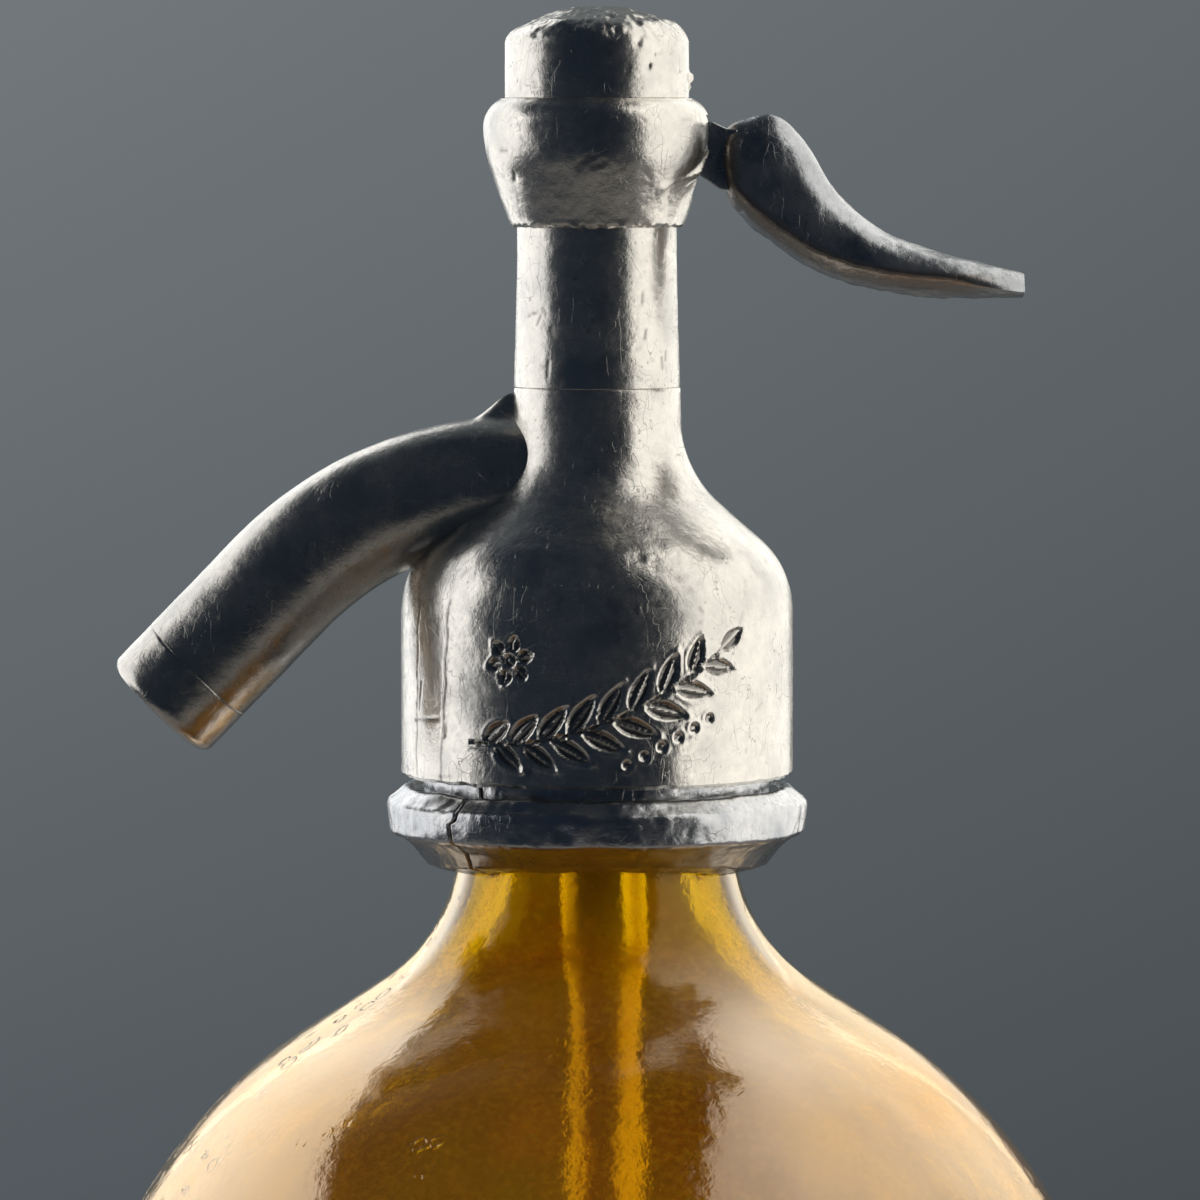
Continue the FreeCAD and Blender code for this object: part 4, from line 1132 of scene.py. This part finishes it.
def lever():
    bm = bmesh.new()
    blade(bm)
    bmesh.ops.recalc_face_normals(bm, faces=bm.faces)
    bm.normal_update()
    grime_and_painted_shade = bm.verts.layers.float.new("grime_and_painted_shade")
    # Painted reflection and shade: a band just above the blade's lower edge is darkened to brown for the
    # amber bottle's reflection, fading out towards the tip, and the root next to the housing is darkened as
    # painted shade.
    for vert in bm.verts:
        _, low, _ = blade_at(vert.co.x)
        above = vert.co.z - low
        under = smooth_step(0.4, 0.9, above) * (1 - smooth_step(KEEL, KEEL + 0.5, above))
        under *= 1 - smooth_step(39.0, 45.0, vert.co.x)
        vert[grime_and_painted_shade] = max(0.85 * under, 1 - smooth_step(14.4, 16.0, vert.co.x))
        if vert.normal.z < -0.75 and 17 < vert.co.x < 45:
            vert.co.z -= 0.14 * max(-0.4, lumps(vert.co, 1.1, 18))
    roughen(bm, 0.14, 4.0, 19, 0.5)
    hub, finger = 2.6, 1.4
    slab(bm, [
        (PIVOT.x, PIVOT.z - hub), (11.1, 301.8), (13.4, 300.2), (15.2, 300.0), (15.2, 306.7),
        (14.1, 306.8), (12.4, 307.6), (PIVOT.x, PIVOT.z + hub, hub), (PIVOT.x - hub, PIVOT.z, hub),
    ], 2.3, 0.2)
    slab(bm, [
        (0, PIVOT.z - finger), (PIVOT.x, PIVOT.z - finger), (PIVOT.x, PIVOT.z + finger),
        (0, PIVOT.z + finger, finger), (-finger, PIVOT.z, finger),
    ], 1.4, 0.15)
    bm.normal_update()
    piece(bm, "lever", "lever", "lever_pewter", crease=42.0)


def lever_pin():
    """The pin comes in from the back, where its end is peened over."""
    low, high = edge_of("lever_pin", 0), edge_of("lever_pin", 1)
    radius = (high.x - low.x) / 2
    level = Matrix.Rotation(radians(-90), 4, "X")
    bm = turned(48, ([
        (0, low.y), (radius, low.y), (radius, high.y - 0.3), (radius + 0.15, high.y - 0.1, 1.6),
        (0, high.y + 0.2),
    ], 0.25), lie=Matrix.Translation(PIVOT) @ level)
    piece(bm, "lever_pin", "siphon", "steel")


def valve_spring():
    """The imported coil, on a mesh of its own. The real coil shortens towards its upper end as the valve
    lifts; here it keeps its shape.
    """
    node = frame["nodes"]["valve_spring"]
    bm = bmesh.new()
    bm.from_mesh(node.data)
    bmesh.ops.transform(bm, matrix=Matrix.Scale(1 / MM, 4) @ node.matrix_world, verts=bm.verts)
    solid(bm)
    made = piece(bm, "valve_spring", "siphon", "spring_steel")
    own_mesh(made)


# ---- inner pieces that stay as they are

def finish_inner_pieces():
    """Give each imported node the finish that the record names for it."""
    for subpart in frame["record"]["subparts"]:
        node = frame["nodes"][subpart["node"]]
        node.data.materials.clear()
        node.data.materials.append(FINISHES[subpart["material_slot"]])


# ---- studio

FLOOR_R = 0.60
FLOOR_FADE_R = 0.30
FLOOR_DROP = 0.0003
BACKDROP_HIGH = (0.150, 0.168, 0.178, 1)
BACKDROP_LOW = (0.070, 0.082, 0.091, 1)
BACKDROP_TILT = 0.16
STUDIO_DARK = (0.007, 0.0125, 0.022, 1)
ROOM_FILL = (0.10, 0.105, 0.11, 1)
SOFTBOX_RADIANCE = 1.2
LEFT_LIGHT = (1.0, 0.985, 0.97)
RIGHT_LIGHT = (1.0, 0.965, 0.90)
CAMERA_PLACE = (0.00033, -0.8, 0.306)
CAMERA_TILT = 86.4
CAMERA_LENS = 221.2


def studio_floor():
    """A pale round floor that fades out into the backdrop."""
    bm = bmesh.new()
    bmesh.ops.create_circle(bm, cap_ends=True, segments=96, radius=FLOOR_R)
    bmesh.ops.translate(bm, verts=bm.verts, vec=(0, 0, -FLOOR_DROP))
    mesh = meshed(bm, "studio_floor")
    tree, place, output = new_material("floor_paper")
    mottle = grain(tree, place, 60.0)
    colour = blended(tree, spread(tree, mottle, 0.3, 0.7), (0.30, 0.295, 0.29, 1), (0.34, 0.335, 0.325, 1))
    paper = add(tree, "BsdfDiffuse", {"Color": colour}).outputs[0]
    distance = add(tree, "VectorMath", {0: place}, operation="LENGTH").outputs["Value"]
    values = {"Value": distance, "From Min": FLOOR_FADE_R, "From Max": FLOOR_R - 0.01}
    fade = add(tree, "MapRange", values, interpolation_type="SMOOTHSTEP").outputs["Result"]
    clear = add(tree, "BsdfTransparent").outputs[0]
    surface = add(tree, "MixShader", {0: fade, 1: paper, 2: clear}).outputs[0]
    tree.links.new(surface, output.inputs["Surface"])
    mesh.materials.append(FINISHES["floor_paper"])
    floor = linked("studio_floor", mesh)


def studio_world():
    """A grey backdrop behind the object, and a dark studio on the camera's side of it."""
    world = bpy.data.worlds.new("studio")
    world.use_nodes = True
    bpy.context.scene.world = world
    tree = world.node_tree
    tree.nodes.clear()
    way = add(tree, "TexCoord").outputs["Generated"]
    parts = add(tree, "SeparateXYZ", {0: way}).outputs
    backdrop = blended(tree, spread(tree, parts["Z"], -0.16, 0.03), BACKDROP_LOW, BACKDROP_HIGH)
    room = blended(tree, spread(tree, parts["Y"], 0.2, 0.8), STUDIO_DARK, backdrop)
    ray = add(tree, "LightPath").outputs
    seen = larger(tree, ray["Is Glossy Ray"], ray["Is Transmission Ray"])
    colour = blended(tree, seen, ROOM_FILL, room)
    colour = blended(tree, ray["Is Camera Ray"], colour, backdrop)
    tilt = spread(tree, parts["X"], -0.09, 0.09, 1 + BACKDROP_TILT, 1 - BACKDROP_TILT)
    glow = add(tree, "Background", {"Color": colour, "Strength": tilt}).outputs[0]
    output = add(tree, "OutputWorld")
    tree.links.new(glow, output.inputs["Surface"])


def softbox(name, facing, away, reach_front, reach_back, low, high, colour):
    """An upright rectangular light, seen in reflections and not by the camera.

    It stands away from the axis in the direction that it faces, an azimuth, and reaches sideways to two
    other azimuths, one nearer to the front and one nearer to the back.
    """
    middle = radians(facing)
    out = Vector((sin(middle), -cos(middle), 0))
    side = Vector((cos(middle), sin(middle), 0))
    first = away * tan(radians(reach_front - facing))
    last = away * tan(radians(reach_back - facing))
    width, height = abs(last - first), high - low
    light = bpy.data.lights.new(name, "AREA")
    light.shape = "RECTANGLE"
    light.size, light.size_y = width, height
    light.energy = SOFTBOX_RADIANCE * pi * width * height
    light.color = colour
    lamp = linked(name, light)
    lamp.location = out * away + side * (first + last) / 2 + AXIS * (low + high) / 2
    lamp.rotation_euler = (-out).to_track_quat("-Z", "Y").to_euler()
    lamp.visible_camera = False


def studio_lights():
    softbox("left_softbox", -130, 0.7, -76, -156, 0.02, 0.93, LEFT_LIGHT)
    softbox("left_back_softbox", -162, 0.9, -155, -170, 0.27, 1.1, LEFT_LIGHT)
    softbox("right_softbox", 95, 0.42, 50, 155, 0.04, 1.40, RIGHT_LIGHT)
    softbox("right_back_softbox", 162, 0.9, 154, 168, 0.27, 1.1, RIGHT_LIGHT)


def studio_camera():
    lens = bpy.data.cameras.new("studio_camera")
    lens.sensor_width = 36.0
    lens.lens = CAMERA_LENS
    camera = linked("studio_camera", lens)
    camera.location = CAMERA_PLACE
    camera.rotation_euler = (radians(CAMERA_TILT), 0, 0)
    bpy.context.scene.camera = camera
    bpy.context.scene.view_settings.view_transform = "Standard"


glass_bottle()
dip_tube()
split_ring("split_ring_right", SPLIT_AZIMUTH)
split_ring("split_ring_left", SPLIT_AZIMUTH + 180)
head_body()
spout_tube()
spout_nozzle()
valve_column()
lever_housing()
top_cap()
lever()
lever_pin()
valve_spring()
finish_inner_pieces()
studio_floor()
studio_world()
studio_lights()
studio_camera()
